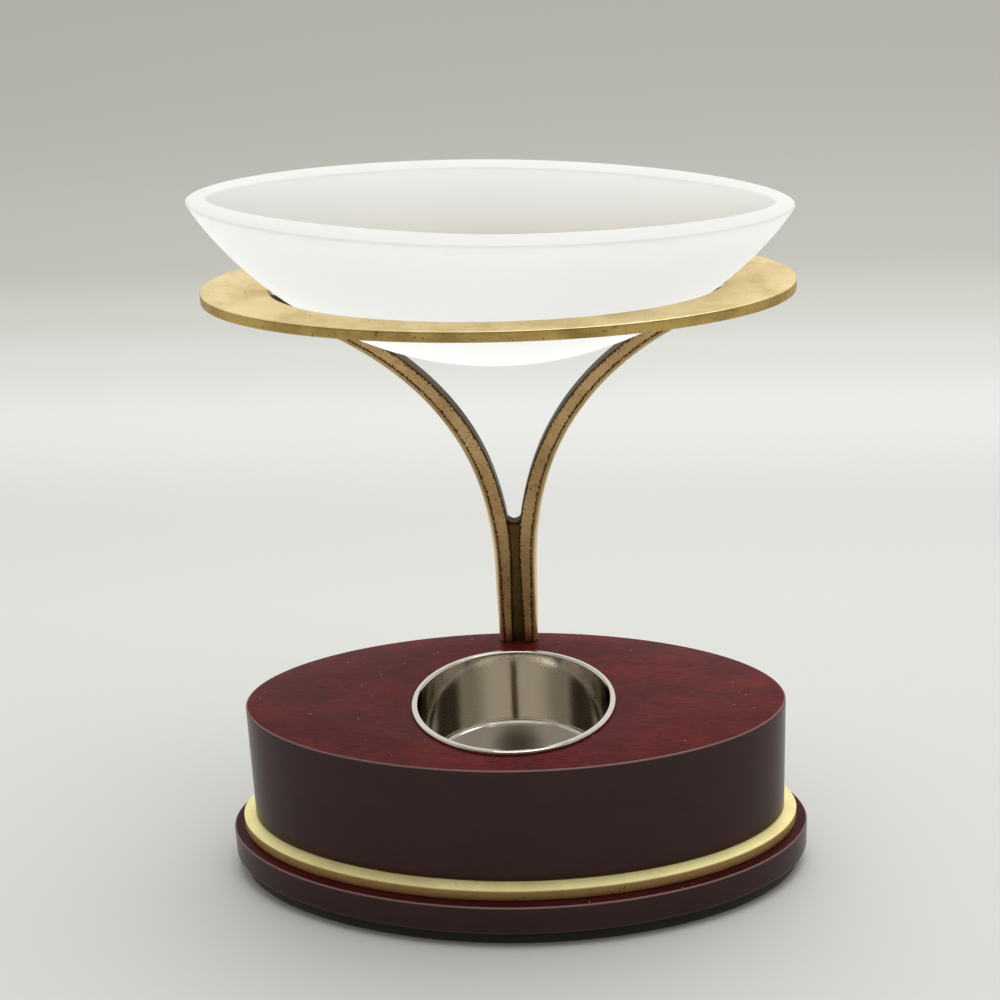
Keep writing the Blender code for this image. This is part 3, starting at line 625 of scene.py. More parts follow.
felt, tree, shader, place = new_material(
    "pressed_wool_felt",
    {"Roughness": 0.95, "Specular IOR Level": 0.1, "Sheen Weight": 0.25, "Sheen Roughness": 0.6},
)
fibres = add_node(
    tree,
    "ShaderNodeTexNoise",
    {"Vector": place, "Scale": 1 / FIBRE_LENGTH, "Detail": 6.0, "Roughness": 0.75, "Distortion": 1.5},
)
layer = {SHARE: fibres, UNDER: colour("#0E100E"), OVER: colour("#2A2E29")}
wool = add_node(tree, "ShaderNodeMix", layer, MIXED, data_type="RGBA")
fuzz = add_node(tree, "ShaderNodeBump", {"Height": fibres, "Strength": 0.8, "Distance": FIBRE_DEPTH})
feed(shader, {"Base Color": wool, "Normal": fuzz})

side = base_outline(FELT_HIGH.x - BLOCK_HIGH.x)
bm = bmesh.new()
stack_up(bm, [(side, FELT_LOW.z), (side, FELT_HIGH.z)])
round_edges(bm, rim_edges(bm, FELT_LOW.z) + rim_edges(bm, FELT_HIGH.z), FELT_EDGE_ROUND, 3)
pad = to_object(bm, "felt_foot")
dress(pad, felt, "dark_felt", "stand", "felt_pad")

# %% [markdown]
# ## Satin brass
# The metalwork is cast brass, filed and rubbed to a satin finish and left without lacquer. It is
# warm yellow in some patches and browner in others, and it keeps a few small casting pits. Brass
# has no colour of its own beyond its reflection, so metallic is 1. A number on each corner of a
# mesh, its tone, paints light and shade into the colour: at 1 a pale painted highlight on the
# rubbed brass, at 0 the plain metal, and at -1 grime with painted shade.

# %% Mix the brass finishes
TONE = "tone"
STAIN_SIZE = 9.0 * MM
STAIN_STARTS, STAIN_FULL = 0.4, 0.75
CASTING_GRAIN = 0.45 * MM
GRIME_AND_SHADE = "#33240F"
GRIME_AND_SHADE_SHARE = 0.9
GRIME_AND_SHADE_SPREAD = 0.45
GRIME_AND_SHADE_STARTS, GRIME_AND_SHADE_FULL = 0.64, 0.74
PIT_SPACING = 3.2 * MM
PIT_SIZE = 0.5 * MM
PIT_CORE = 0.4
PIT_DEPTH = 0.08 * MM
RUB_LENGTH = 6.0 * MM
RUB_WIDTH = 0.12 * MM  # Coarser than real marks, to show.
RUB_DEPTH = 0.01 * MM
GLOSS_SWING = 0.08


def satin_brass(name, bright, brown, rubbed_and_lit, roughness, pits, stain):
    """Cast brass with browner patches, rubbing marks, small pits, dirt and painted shade where its tone is
    low, and a painted highlight where it is high.
    """
    surface, tree, shader, place = new_material(name, {"Metallic": 1.0})
    patches = add_node(
        tree,
        "ShaderNodeTexNoise",
        {"Vector": place, "Scale": 1 / STAIN_SIZE, "Detail": 5.0, "Roughness": 0.6},
    )
    tarnish = add_node(
        tree,
        "ShaderNodeMapRange",
        {"Value": patches, "From Min": STAIN_STARTS, "From Max": STAIN_FULL, "To Max": stain},
    )
    tone = add_node(tree, "ShaderNodeAttribute", {}, "Fac", attribute_name=TONE)
    grains = add_node(
        tree,
        "ShaderNodeTexNoise",
        {"Vector": place, "Scale": 1 / CASTING_GRAIN, "Detail": 2.0},
    )
    # Low tone, broken up by the grains, gives grime and painted shade.
    hidden = add_node(
        tree,
        "ShaderNodeMath",
        {0: tone, 1: -GRIME_AND_SHADE_SPREAD, 2: grains},
        operation="MULTIPLY_ADD",
    )
    grime_and_shade = add_node(
        tree,
        "ShaderNodeMapRange",
        {"Value": hidden, "From Min": GRIME_AND_SHADE_STARTS, "From Max": GRIME_AND_SHADE_FULL, "To Max": GRIME_AND_SHADE_SHARE},
    )
    pitted = round_spots(tree, place, PIT_SPACING, PIT_SIZE, PIT_CORE, pits)
    # The colour at high tone is a painted highlight on the rubbed brass.
    layer = {SHARE: tarnish, UNDER: colour(rubbed_and_lit), OVER: colour(bright)}
    rubbed_and_lit_tint = add_node(tree, "ShaderNodeMix", layer, MIXED, data_type="RGBA")
    metal = colour(bright)
    layers = (
        (tarnish, colour(brown)),
        (tone, rubbed_and_lit_tint),
        (grime_and_shade, colour(GRIME_AND_SHADE)),
        (pitted, colour(GRIME_AND_SHADE)),
    )
    for share, over in layers:
        layer = {SHARE: share, UNDER: metal, OVER: over}
        metal = add_node(tree, "ShaderNodeMix", layer, MIXED, data_type="RGBA")
    stretch = (1 / RUB_LENGTH, 1 / RUB_WIDTH, 1 / RUB_WIDTH)
    rubbing = add_node(tree, "ShaderNodeMapping", {"Vector": place, "Scale": stretch})
    marks = add_node(tree, "ShaderNodeTexNoise", {"Vector": rubbing, "Scale": 1.0, "Detail": 2.0})
    gloss = add_node(
        tree,
        "ShaderNodeMapRange",
        {"Value": marks, "To Min": roughness - GLOSS_SWING, "To Max": roughness + GLOSS_SWING},
    )
    hollows = add_node(tree, "ShaderNodeBump", {"Height": pitted, "Distance": PIT_DEPTH}, invert=True)
    scuffs = add_node(
        tree,
        "ShaderNodeBump",
        {"Height": marks, "Strength": 0.25, "Distance": RUB_DEPTH, "Normal": hollows},
    )
    feed(shader, {"Base Color": metal, "Roughness": gloss, "Normal": scuffs})
    return surface


RING_BRASS = satin_brass("rubbed_brass", "#D0B26C", "#86693C", "#F4E0AA", 0.42, pits=0.8, stain=0.9)
HOOP_BRASS = satin_brass("brushed_brass", "#BE9A64", "#9C7C4C", "#FFF6BA", 0.62, pits=0.3, stain=0.3)
CAST_BRASS = satin_brass("cast_brass", "#CFAD7A", "#967548", "#F0DCAA", 0.40, pits=0.9, stain=0.7)
DULL_BRASS = satin_brass("unpolished_brass", "#7A6238", "#4E3D20", "#7A6238", 0.5, pits=0.9, stain=0.9)
print("four brass finishes, pits %.1f mm across" % (PIT_SIZE / MM))

# %% [markdown]
# ## The brass hoop
# Hoop and ring are both flat ovals with an oval hole. Two or three loops are bridged into a flat
# face, which is extruded to its thickness, and then the edges are eased a little. The hoop's ledge
# falls outwards slightly, as a file leaves it. The tops are painted bright, a painted highlight of
# the light from above, and the sides are left plain brown, so a corner's tone follows from its height.

# %% Build oval rings
RING_EDGE_ROUND = 0.3 * MM
BAND_EDGE_ROUND = 0.2 * MM
BAND_REACH_IN = 6.0 * MM
BAND_FALL = 0.5 * MM
RING_FLAT_AREA = 0.5 * MM * MM


def oval_ring(name, outlines, low, high, edge_round, segments, fall=0.0, inner_tone=1.0):
    """A flat ring through outlines from its outside to its inside. The outside of its top may fall.

    The top is painted bright along its outside, a painted highlight of the light from above, and as the
    inner tone says along its inside.
    """
    bm = bmesh.new()
    tone = bm.verts.layers.float.new(TONE)
    outside = bm.verts.layers.float.new("outside")
    loops = []
    for number, outline in enumerate(outlines):
        circle = bmesh.ops.create_circle(bm, radius=1.0, segments=OVAL_STEPS)["verts"]
        for vert in circle:
            x, y = outline(math.atan2(vert.co.y, vert.co.x))
            vert.co = (x, y, low)
            vert[outside] = float(number == 0)
        loops.append([edge for vert in circle for edge in vert.link_edges])
    for outer, inner in zip(loops, loops[1:]):
        bmesh.ops.bridge_loops(bm, edges=list({*outer, *inner}))
    heights = (low + edge_round + SUPPORT, high - edge_round - SUPPORT, high)
    top_faces = bm.faces[:]
    for step, height in enumerate(heights):
        top_faces = push_out(bm, top_faces)
        for vert in {vert for face in top_faces for vert in face.verts}:
            vert.co.z = height - (fall * vert[outside] if step else 0.0)
    bmesh.ops.recalc_face_normals(bm, faces=bm.faces)
    edges = {edge for level in (low, high, high - fall) for edge in rim_edges(bm, level)}
    round_edges(bm, list(edges), edge_round, segments)
    # The tops get a painted highlight, and the sides stay plain.
    for vert in bm.verts:
        on_top = vert.co.z > high - fall - edge_round / 2
        vert[tone] = inner_tone + (1.0 - inner_tone) * vert[outside] if on_top else 0.0
    return to_object(bm, name, flat_above=RING_FLAT_AREA)


hoop = oval_ring(
    "brass_hoop",
    [base_outline(BAND_HIGH.x - BLOCK_HIGH.x), base_outline(), base_outline(-BAND_REACH_IN)],
    BAND_LOW.z,
    BAND_HIGH.z,
    BAND_EDGE_ROUND,
    3,
    fall=BAND_FALL,
)
dress(hoop, HOOP_BRASS, "satin_brass", "stand", "trim_band")

# %% [markdown]
# ## The bowl's shape
# The bowl's long section and its cross section are two Bezier curves, from the middle of its floor
# to its rim. At each height both give a reach, and the oval with those two reaches is one level of
# the bowl. Up to the ring the oval is blunt, and towards the rim it grows more pointed, as in a
# leaf. The flat rim is wide along the sides and narrow at the ends, and a faint crease runs
# round the middle of it, where the mould's two halves met. A curve is given by how far its first
# handle reaches along the floor, how far its second reaches down from the rim, and at what slope.

# %% Draw the bowl's sections
BOWL_HALF_LENGTH = 58.25 * MM
BOWL_HALF_WIDTH = 27.45 * MM
BOWL_HEIGHT = 32.7 * MM
BOWL_SINK = 15.9 * MM
BOWL_FLOOR_THICKNESS = 3.0 * MM
BODY_POWER = 2.0
OUTER_RIM_POWER = 1.86
INNER_RIM_POWER = 1.66
RIM_END_WIDTH = 3.9 * MM
RIM_SIDE_WIDTH = 6.5 * MM
RIM_FALL = 0.25 * MM
LONG_CURVE = (30.8 * MM, 12.9 * MM, math.radians(60.5))
OUTER_CROSS_CURVE = (17.1 * MM, 12.0 * MM, math.radians(72.0))
INNER_CROSS_CURVE = (16.0 * MM, 16.0 * MM, math.radians(89.0))
BOWL_TIP = math.radians(1.85)
BOWL_SLIDE = 1.3 * MM
SECTION_STEPS = 200
BOWL_LEVELS = 34
FIRST_LEVEL = 0.15
LEVEL_BUNCHING = 1.9
BOWL_STEPS = 192
RING_CENTRE_Y = (RING_LOW.y + RING_HIGH.y) / 2
BOWL_BOTTOM = RING_TOP - BOWL_SINK
BOWL_TOP = BOWL_BOTTOM + BOWL_HEIGHT


def bowl_section(half, curve, bottom, top):
    """One side of a section, from its middle to the rim, as (reach, height)."""
    floor_pull, side_pull, side_slope = curve
    rim = Vector((half, top))
    side = Vector((math.cos(side_slope), math.sin(side_slope))) * side_pull
    start = Vector((0.0, bottom))
    pulled = start + Vector((floor_pull, 0.0))
    return interpolate_bezier(start, pulled, rim - side, rim, SECTION_STEPS)


def reach_at(section, height):
    """How far a section reaches from the middle at a height."""
    for lower, upper in zip(section, section[1:]):
        if lower.y <= height <= upper.y:
            share = (height - lower.y) / (upper.y - lower.y)
            return lower.x + (upper.x - lower.x) * share
    return section[-1].x


def bowl_oval(half_length, half_width, power=2.0):
    """A level oval round the bowl's middle."""
    def outline(angle):
        x, y = oval_place(angle, half_length, half_width, power)
        return x, y + RING_CENTRE_Y
    return outline


def bowl_skin(long_section, cross_section, rim_power):
    """The stations of one skin, from its floor up to the rim, closer near the floor."""
    bottom = long_section[0].y
    top = long_section[-1].y
    stations = []
    for level in range(BOWL_LEVELS + 1):
        share = (level + FIRST_LEVEL) / (BOWL_LEVELS + FIRST_LEVEL)
        height = bottom + (top - bottom) * share ** LEVEL_BUNCHING
        above_ring = max((height - RING_TOP) / (BOWL_TOP - RING_TOP), 0.0)
        power = BODY_POWER + (rim_power - BODY_POWER) * above_ring
        half_length = reach_at(long_section, height)
        half_width = reach_at(cross_section, height)
        stations.append((bowl_oval(half_length, half_width, power), height))
    return stations


print("bowl is %.1f mm long and %.1f mm high" % (2 * BOWL_HALF_LENGTH / MM, BOWL_HEIGHT / MM))

# %% [markdown]
# ## Opal glass
# The bowl is pressed opal glass, frosted all over by acid. Light that falls on it goes partly
# through the wall and comes out spread in every direction, so the bowl's front glows from the
# light inside it. A translucent shader does just that. It is mixed with a plain white one, which
# sends part of the light back and gives the frosted skin its weak gloss. The rim was ground level
# and lets less light in, so a number on the mesh marks it.

# %% Mix the glass finish
GROUND = "ground"
LET_THROUGH = 0.95
RIM_LETS_THROUGH = 0.55
FROST_SIZE = 0.25 * MM  # Coarser than real frosting, to show.
FROST_DEPTH = 0.01 * MM
CLOUD_SIZE = 24.0 * MM

opal, tree, shader, place = new_material("frosted_opal_glass", {"Roughness": 0.5, "IOR": 1.5})
frost = add_node(tree, "ShaderNodeTexNoise", {"Vector": place, "Scale": 1 / FROST_SIZE, "Detail": 2.0})
cloud = add_node(tree, "ShaderNodeTexNoise", {"Vector": place, "Scale": 1 / CLOUD_SIZE, "Detail": 3.0})
layer = {SHARE: cloud, UNDER: colour("#FFFFFF"), OVER: colour("#FEFFFF")}
milk = add_node(tree, "ShaderNodeMix", layer, MIXED, data_type="RGBA")
pitting = add_node(tree, "ShaderNodeBump", {"Height": frost, "Strength": 0.25, "Distance": FROST_DEPTH})
feed(shader, {"Base Color": milk, "Normal": pitting})
through = add_node(tree, "ShaderNodeBsdfTranslucent", {"Color": milk})
ground_down = add_node(tree, "ShaderNodeAttribute", {}, "Fac", attribute_name=GROUND)
let_in = add_node(
    tree,
    "ShaderNodeMapRange",
    {"Value": ground_down, "To Min": LET_THROUGH, "To Max": RIM_LETS_THROUGH},
)
glass = add_node(tree, "ShaderNodeMixShader", {0: let_in, 1: shader.outputs["BSDF"], 2: through})
feed(tree.nodes["Material Output"], {"Surface": glass})
print("opal glass lets %.0f %% of the light into its wall" % (100 * LET_THROUGH))

# %% [markdown]
# ## The bowl
# Glass is pressed between two halves of a mould, and the mesh is made in one piece too: ovals
# climb the outer skin, cross the rim and go down the inner skin, and both edges of the rim are
# rounded. The bowl only rests in the ring, so it has slipped a little and leans to its right.

# %% Press the bowl
RIM_ROUND = 0.8 * MM
LIP_ROUND = 0.45 * MM
RIM_ANGLE = math.radians(20.0)
GROUND_DEPTH = 0.1 * RIM_ROUND

outer_top = BOWL_TOP - RIM_FALL
outer_long = bowl_section(BOWL_HALF_LENGTH, LONG_CURVE, BOWL_BOTTOM, outer_top)
outer_cross = bowl_section(BOWL_HALF_WIDTH, OUTER_CROSS_CURVE, BOWL_BOTTOM, outer_top)
inner_bottom = BOWL_BOTTOM + BOWL_FLOOR_THICKNESS
inner_half_length = BOWL_HALF_LENGTH - RIM_END_WIDTH
inner_half_width = BOWL_HALF_WIDTH - RIM_SIDE_WIDTH
inner_long = bowl_section(inner_half_length, LONG_CURVE, inner_bottom, BOWL_TOP)
inner_cross = bowl_section(inner_half_width, INNER_CROSS_CURVE, inner_bottom, BOWL_TOP)
crease = bowl_oval(
    (BOWL_HALF_LENGTH + inner_half_length) / 2,
    (BOWL_HALF_WIDTH + inner_half_width) / 2,
    (OUTER_RIM_POWER + INNER_RIM_POWER) / 2,
)
outer_skin = bowl_skin(outer_long, outer_cross, OUTER_RIM_POWER)
inner_skin = bowl_skin(inner_long, inner_cross, INNER_RIM_POWER)
bm = bmesh.new()
ground = bm.verts.layers.float.new(GROUND)
stack_up(bm, outer_skin + [(crease, BOWL_TOP)] + inner_skin[::-1], BOWL_STEPS)
round_edges(bm, rim_edges(bm, outer_top, RIM_ANGLE), RIM_ROUND, 6)
round_edges(bm, rim_edges(bm, BOWL_TOP, RIM_ANGLE), LIP_ROUND, 4)
for vert in bm.verts:
    vert[ground] = float(vert.co.z > outer_top - GROUND_DEPTH)
seat = Matrix.Translation((0.0, RING_CENTRE_Y, RING_TOP))
tip = Matrix.Translation((-BOWL_SLIDE, 0.0, 0.0)) @ Matrix.Rotation(BOWL_TIP, 4, "Y")
bmesh.ops.transform(bm, matrix=seat @ tip @ seat.inverted(), verts=bm.verts)
bowl = to_object(bm, "opal_bowl", flat_above=math.inf)
dress(bowl, opal, "frosted_glass", "bowl", "glass_bowl", sharp=math.radians(60.0))

# %% [markdown]
# ## The ring
# The bowl wedges in the ring's opening, so the opening is worked out from the bowl's own sections
# at that height, with a small fit all round. The lean makes the bowl's low end reach further,
# and its reach depends on the height where it is taken, so the two are found by turns.

# %% Round the ring
BOWL_FIT = 0.3 * MM
RING_HALF_LENGTH = RING_HIGH.x
RING_HALF_WIDTH = (RING_HIGH.y - RING_LOW.y) / 2
REACH_TRIES = 8

low_end = reach_at(outer_long, RING_TOP)
for _ in range(REACH_TRIES):
    low_end = reach_at(outer_long, RING_TOP + low_end * math.tan(BOWL_TIP))
opening_half_length = low_end / math.cos(BOWL_TIP) - BOWL_SLIDE + BOWL_FIT
opening_half_width = reach_at(outer_cross, RING_TOP) + BOWL_FIT
ring = oval_ring(
    "brass_ring",
    [
        bowl_oval(RING_HALF_LENGTH, RING_HALF_WIDTH),
        bowl_oval(opening_half_length, opening_half_width, BODY_POWER),
    ],
    RING_LOW.z,
    RING_HIGH.z,
    RING_EDGE_ROUND,
    5,
    # Painted shade near the bowl: the inside of the ring's top is painted less bright.
    inner_tone=0.75,
)
dress(ring, RING_BRASS, "satin_brass", "stand", "bowl_ring")

# %% [markdown]
# ## The forked post
# Two bars stand side by side with a narrow strip between them. Above the fork they bend outwards
# in one sweep, and at the same time forwards, to end under the wide ends of the ring. A straight
# foot and a Bezier curve make that line. A bar's section is a rounded rectangle, rounder on its
# outer side than on its inner one. Its corners also carry the brass's tones: a painted highlight
# along the outer side with a thin line of painted shade beside it, and grime with painted shade on
# the inner side.

# %% Draw the bars' line
ARM_WIDTH = 4.1 * MM
ARM_FOOT_WIDTH = 3.1 * MM
ARM_END_WIDTH = 3.15 * MM
ARM_DEPTH = 3.6 * MM
ARM_OUTER_ROUND = 1.7 * MM
ARM_INNER_ROUND = 0.5 * MM
FORK_HEIGHT = 29.8 * MM
POST_STRAIGHT = 19.1 * MM
ARM_RISE_PULL = 41.7 * MM
ARM_END_PULL = 16.0 * MM
ARM_END_SLOPE = math.radians(20.0)
ARM_OVERRUN = 10.0 * MM
ARM_FOOT_X = 2.7 * MM
ARM_FLAT_AREA = 4.0 * MM * MM
SWEEP_START = 4.0 * MM
SWEEP_SOFTNESS = 3.0 * MM
SEAT_GAP = 0.2 * MM
ARM_STEPS = 90
FOOT_STEPS = 10
CORNER_STEPS = 5
# Round the outer corners: a painted highlight, a line of painted shade, then plain. Inner: grime with
# painted shade.
OUTER_TONES = (1.0, 1.0, 1.0, 0.9, -0.8, 0.0)
INNER_TONES = (-1.0, -1.0, -0.9, -0.7, -0.5, -0.15)
RING_RISE = RING_LOW.z - BLOCK_TOP
ARM_REACH = (opening_half_length + RING_HALF_LENGTH) / 2


def arm_width(height):
    """A bar's width at a height above the block: widest at the fork."""
    if height < FORK_HEIGHT:
        return ARM_FOOT_WIDTH + (ARM_WIDTH - ARM_FOOT_WIDTH) * height / FORK_HEIGHT
    share = min((height - FORK_HEIGHT) / (RING_RISE - FORK_HEIGHT), 1.0)
    return ARM_WIDTH + (ARM_END_WIDTH - ARM_WIDTH) * share


def arm_line():
    """The right bar's centre line from its foot, as (x, height above the block)."""
    bend = Vector((ARM_FOOT_X, POST_STRAIGHT))
    slope = Vector((math.cos(ARM_END_SLOPE), math.sin(ARM_END_SLOPE)))
    end = Vector((ARM_REACH, RING_RISE))
    foot_rise = (POST_STRAIGHT - SEAT_GAP) / FOOT_STEPS
    foot = [Vector((ARM_FOOT_X, SEAT_GAP + foot_rise * step)) for step in range(FOOT_STEPS)]
    rise = bend + Vector((0.0, ARM_RISE_PULL))
    sweep = interpolate_bezier(bend, rise, end - slope * ARM_END_PULL, end, ARM_STEPS)
    return foot + list(sweep) + [end + slope * ARM_OVERRUN]


def bar_corner(around, width):
    """A point of the bar's section by its number round it, as (across, deep, tone)."""
    corners = (
        (1, 1, ARM_OUTER_ROUND, 0),
        (-1, 1, ARM_INNER_ROUND, 90),
        (-1, -1, ARM_INNER_ROUND, 180),
        (1, -1, ARM_OUTER_ROUND, 270),
    )
    corner, step = divmod(around, CORNER_STEPS + 1)
    across, deep, radius, start = corners[corner]
    angle = math.radians(start + 90 * step / CORNER_STEPS)
    x = across * (width / 2 - radius) + radius * math.cos(angle)
    y = deep * (ARM_DEPTH / 2 - radius) + radius * math.sin(angle)
    tones = OUTER_TONES if across > 0 else INNER_TONES
    return x, y, tones[CORNER_STEPS - step if corner % 2 else step]


def forward_sweep(x):
    """How far forward a bar has swept at a distance from the middle."""
    run = max(abs(x) - SWEEP_START, 0.0)
    full_run = ARM_REACH - SWEEP_START
    steepness = (POST_Y - RING_CENTRE_Y) * (full_run + SWEEP_SOFTNESS) / full_run ** 2
    return steepness * run ** 2 / (run + SWEEP_SOFTNESS)


print("bars reach %.1f mm out and %.1f mm up" % (ARM_REACH / MM, RING_RISE / MM))

# %% [markdown]
# ## The bars
# A founder pours such a bar in one piece. Here its section is extruded along the line in short
# steps, square to the line at each. The bar is made a little too long, cut level just under the
# ring, and swept forwards last, so that both ends stay level.

# %% Sweep the bars
def sweep_bar(name, side):
    """One bar, extruded step by step along its line and cut level under the ring."""
    line = arm_line()
    bm = bmesh.new()
    steps = 4 * (CORNER_STEPS + 1)
    around = bm.verts.layers.int.new("around")
    tone = bm.verts.layers.float.new(TONE)
    circle = bmesh.ops.create_circle(bm, cap_ends=True, radius=1.0, segments=steps)["verts"]
    for vert in circle:
        vert[around] = round(math.atan2(vert.co.y, vert.co.x) / (2 * math.pi) * steps) % steps
    face = circle[0].link_faces[0]
    for step, point in enumerate(line):
        if step:
            face = push_out(bm, [face])[0]
        heading = (line[min(step + 1, len(line) - 1)] - line[max(step - 1, 0)]).normalized()
        for vert in face.verts:
            across, deep, vert[tone] = bar_corner(vert[around], arm_width(point.y))
            x = point.x + heading.y * across
            z = BLOCK_TOP + point.y - heading.x * across
            vert.co = (side * x, POST_Y + deep, z)
    bmesh.ops.bisect_plane(
        bm,
        geom=bm.verts[:] + bm.edges[:] + bm.faces[:],
        dist=LEVEL_SLACK,
        plane_co=(0.0, 0.0, RING_LOW.z - SEAT_GAP),
        plane_no=(0.0, 0.0, 1.0),
        clear_outer=True,
    )
    bmesh.ops.edgeloop_fill(bm, edges=[edge for edge in bm.edges if edge.is_boundary])
    for vert in bm.verts:
        vert.co.y -= forward_sweep(vert.co.x)
    bmesh.ops.recalc_face_normals(bm, faces=bm.faces)
    return to_object(bm, name, flat_above=ARM_FLAT_AREA)


for name, side, node in (("brass_bar_left", -1, "left_arm"), ("brass_bar_right", 1, "right_arm")):
    dress(sweep_bar(name, side), CAST_BRASS, "satin_brass", "stand", node)

# %% [markdown]
# ## The strip between the bars
# The strip is set back from the bars' faces and is coloured a dull olive brown.
# It ends in a small dipped saddle at the fork. Its edges reach a little into the bars, where the
# brazing joins them, so that no light gets through.

# %% File the strip
WEB_SETBACK = 0.8 * MM
WEB_BACK_SETBACK = 0.4 * MM
BRAZE_LAP = 0.1 * MM
STRIP_SINK = 0.2 * MM
SADDLE_DIP = 0.9 * MM
STRIP_ACROSS = 8
STRIP_LEVELS = 14
STRIP_TONE = -0.1
SADDLE_TONE = -1.0


def strip_half_width(height):
    """Half the strip's width at a height above the block: what the bars leave free."""
    line = arm_line()
    for lower, upper in zip(line, line[1:]):
        if lower.y <= height <= upper.y:
            heading = (upper - lower).normalized()
            share = (height - lower.y) / (upper.y - lower.y)
            centre = lower.x + (upper.x - lower.x) * share
            return centre - arm_width(height) / 2 / heading.y + BRAZE_LAP
    return ARM_FOOT_X - ARM_FOOT_WIDTH / 2 + BRAZE_LAP


strip_front = POST_Y - ARM_DEPTH / 2 + WEB_SETBACK
strip_back = POST_Y + ARM_DEPTH / 2 - WEB_BACK_SETBACK
heights = [-STRIP_SINK] + [FORK_HEIGHT * step / STRIP_LEVELS for step in range(1, STRIP_LEVELS + 1)]
bm = bmesh.new()
share_of = bm.verts.layers.float.new("share")
deep_of = bm.verts.layers.float.new("deep")
tone = bm.verts.layers.float.new(TONE)
bmesh.ops.create_grid(bm, x_segments=STRIP_ACROSS, y_segments=1, size=1.0)
for vert in bm.verts:
    vert[share_of] = vert.co.x
    vert[deep_of] = vert.co.y
face_set = bm.faces[:]
for step, height in enumerate(heights):
    if step:
        face_set = push_out(bm, face_set)
    half = strip_half_width(max(height, SEAT_GAP))
    at_saddle = step == STRIP_LEVELS
    for vert in {vert for face in face_set for vert in face.verts}:
        y = strip_front if vert[deep_of] < 0 else strip_back
        dip = SADDLE_DIP * (1.0 - vert[share_of] ** 2) if at_saddle else 0.0
        vert.co = (vert[share_of] * half, y, BLOCK_TOP + height - dip)
        vert[tone] = SADDLE_TONE if at_saddle else STRIP_TONE
bmesh.ops.recalc_face_normals(bm, faces=bm.faces)
strip = to_object(bm, "brass_strip")
dress(strip, DULL_BRASS, "satin_brass", "stand", "stem_web")

# %% [markdown]
# ## The tenon
# Below the strip a plain tenon goes down into the block, tapped from below for the hidden screw.

# %% Shoulder the tenon
TENON_SIDES = (6.4 * MM, 3.4 * MM)
TENON_TOP = BLOCK_TOP - 0.1 * MM
TENON_ROUND = 0.2 * MM
THREAD_RADIUS = 1.32 * MM
THREAD_DEPTH = 7.6 * MM

tenon_size = (*TENON_SIDES, TENON_TOP - WEB_LOW.z)
tenon_middle = (0.0, POST_Y, WEB_LOW.z + tenon_size[2] / 2)
tenon_place = Matrix.Translation(tenon_middle) @ Matrix.Diagonal((*tenon_size, 1.0))
bm = bmesh.new()
bmesh.ops.create_cube(bm, size=1.0, matrix=tenon_place)
round_edges(bm, bm.edges[:], TENON_ROUND, 2)
tenon = to_object(bm, "tenon")
thread_top = WEB_LOW.z + THREAD_DEPTH
cut_out(tenon, [rod("thread", THREAD_RADIUS, WEB_LOW.z - PAST, thread_top, 0.0, POST_Y)])
dress(tenon, DULL_BRASS, "satin_brass", "stand", "stem_web")

# %% [markdown]
# ## The tealight cup
# The cup was pressed from thin sheet steel and nickel plated. Its section is one thin line: along
# the floor, round a tight fillet, up a wall that leans out slightly, over a rolled rim and down
# the outside again. Spinning that line round its axis makes the cup. Plated nickel is a smooth,
# slightly warm mirror, which handling has dulled here and there.

# %% Spin the cup
CUP_MOUTH_RADIUS = 20.1 * MM
CUP_FLOOR_RADIUS = 19.7 * MM
CUP_FLOOR_RINGS = (6.0 * MM, 12.0 * MM)
CUP_WALL = 0.7 * MM
CUP_RIM_ROUND = 0.6 * MM
CUP_FLOOR_FILLET = 1.2 * MM
CUP_STEPS = 160
FILLET_STEPS = 8
WELD_GAP = 0.002 * MM
SWIRL_SIZE = 6.0 * MM
SWIRL_DEPTH = 0.05 * MM


def arc(radius, place, start, end):
    """Points on an arc round a place, both ends included, with angles in degrees."""
    points = []
    for step in range(FILLET_STEPS + 1):
        angle = math.radians(start + (end - start) * step / FILLET_STEPS)
        points.append((place[0] + radius * math.cos(angle), place[1] + radius * math.sin(angle)))
    return points


def cup_line():
    """The cup's section as (radius, height), from the middle of its floor and back below it."""
    floor = CUP_LOW.z + CUP_WALL
    roll = CUP_HIGH.z - CUP_RIM_ROUND
    rim_radius = CUP_HIGH.x
    rim_bottom = BLOCK_TOP + SEAT_GAP
    outer_round = CUP_FLOOR_FILLET + CUP_WALL
    fillet_place = (CUP_FLOOR_RADIUS - CUP_FLOOR_FILLET, floor + CUP_FLOOR_FILLET)
    below_place = (CUP_FLOOR_RADIUS + CUP_WALL - outer_round, CUP_LOW.z + outer_round)
    return [
        (0.0, floor),
        *((radius, floor) for radius in CUP_FLOOR_RINGS),
        *arc(CUP_FLOOR_FILLET, fillet_place, -90, 0),
        *arc(CUP_RIM_ROUND, (CUP_MOUTH_RADIUS + CUP_RIM_ROUND, roll), 180, 90),
        *arc(CUP_RIM_ROUND, (rim_radius - CUP_RIM_ROUND, roll), 90, 0),
        (rim_radius, rim_bottom),
        (CUP_MOUTH_RADIUS + CUP_WALL, rim_bottom),
        *arc(outer_round, below_place, 0, -90),
        (0.0, CUP_LOW.z),
    ]


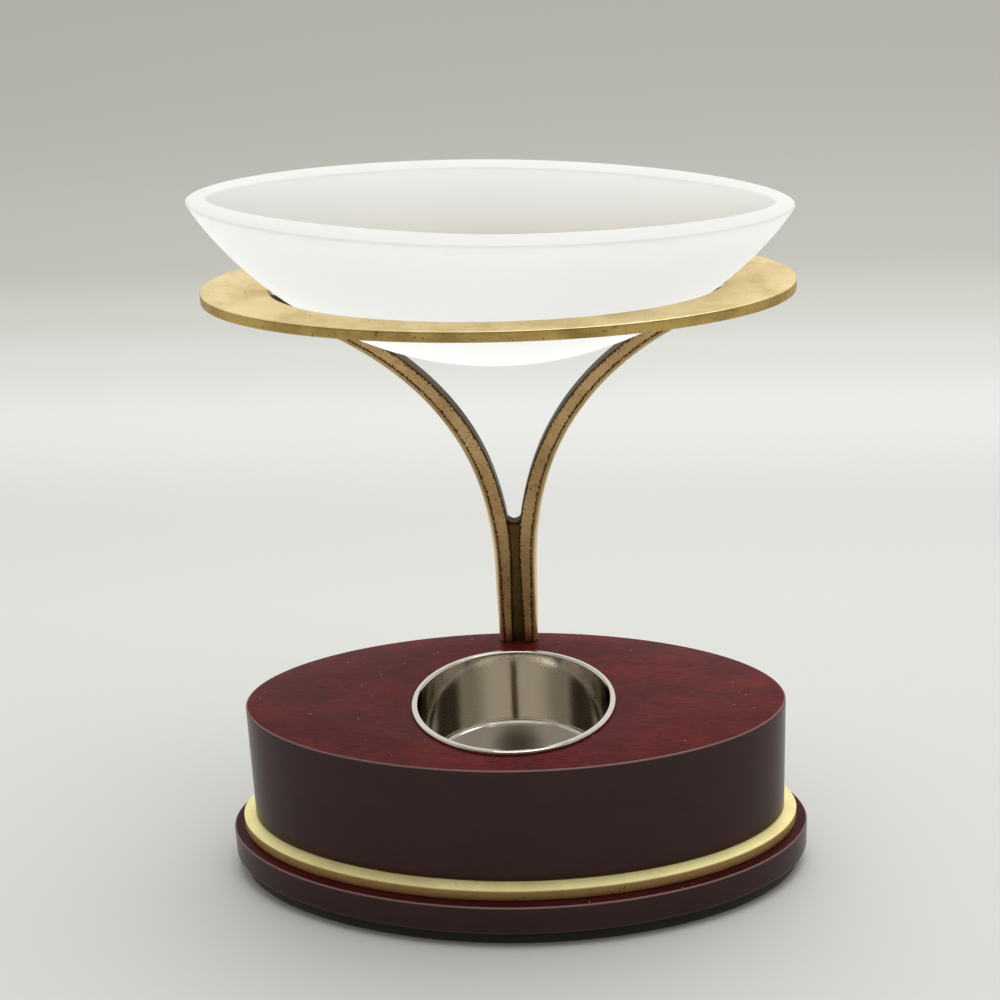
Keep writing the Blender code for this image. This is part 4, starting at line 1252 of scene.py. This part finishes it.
plate = {"Metallic": 1.0, "Base Color": colour("#D2CCC1")}
nickel, tree, shader, place = new_material("nickel_plated_steel", plate)
swirls = add_node(tree, "ShaderNodeTexNoise", {"Vector": place, "Scale": 1 / SWIRL_SIZE, "Detail": 3.0})
handling = add_node(tree, "ShaderNodeMapRange", {"Value": swirls, "To Min": 0.05, "To Max": 0.14})
waves = add_node(tree, "ShaderNodeBump", {"Height": swirls, "Strength": 0.15, "Distance": SWIRL_DEPTH})
feed(shader, {"Roughness": handling, "Normal": waves})

bm = bmesh.new()
line = [bm.verts.new((CUP_CENTRE[0] + radius, CUP_CENTRE[1], z)) for radius, z in cup_line()]
edges = [bm.edges.new(pair) for pair in zip(line, line[1:])]
bmesh.ops.spin(
    bm,
    geom=line + edges,
    cent=(*CUP_CENTRE, 0.0),
    axis=(0.0, 0.0, 1.0),
    angle=2 * math.pi,
    steps=CUP_STEPS,
    use_merge=True,
)
bmesh.ops.remove_doubles(bm, verts=bm.verts, dist=WELD_GAP)
bmesh.ops.recalc_face_normals(bm, faces=bm.faces)
cup = to_object(bm, "nickel_cup", flat_above=math.inf)
dress(cup, nickel, "nickel_plate", "cup", "tealight_cup")

# %% [markdown]
# ## The hidden screws
# One machine screw pulls the post down onto the block, and two wood screws hold the plinth. They
# are covered by the felt, so the plain solids stay and only get their finish: zinc plated steel,
# which is pale, slightly blue and a little uneven.

# %% Plate the screws
CRYSTAL_SIZE = 0.6 * MM  # Coarser than real crystals, to show.

zinc, tree, shader, place = new_material("zinc_plated_steel", {"Metallic": 1.0})
crystals = add_node(tree, "ShaderNodeTexVoronoi", {"Vector": place, "Scale": 1 / CRYSTAL_SIZE})
layer = {SHARE: crystals, UNDER: colour("#B9BEC2"), OVER: colour("#D5D7D6")}
plating = add_node(tree, "ShaderNodeMix", layer, MIXED, data_type="RGBA")
dulling = add_node(tree, "ShaderNodeMapRange", {"Value": crystals, "To Min": 0.3, "To Max": 0.45})
feed(shader, {"Base Color": plating, "Roughness": dulling})
HARDWARE = ("post_screw", "post_washer", "plinth_screw_left", "plinth_screw_right")
for node_name in HARDWARE:
    for node_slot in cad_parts[node_name].material_slots:
        node_slot.material = zinc
print("%d hidden pieces plated" % len(HARDWARE))
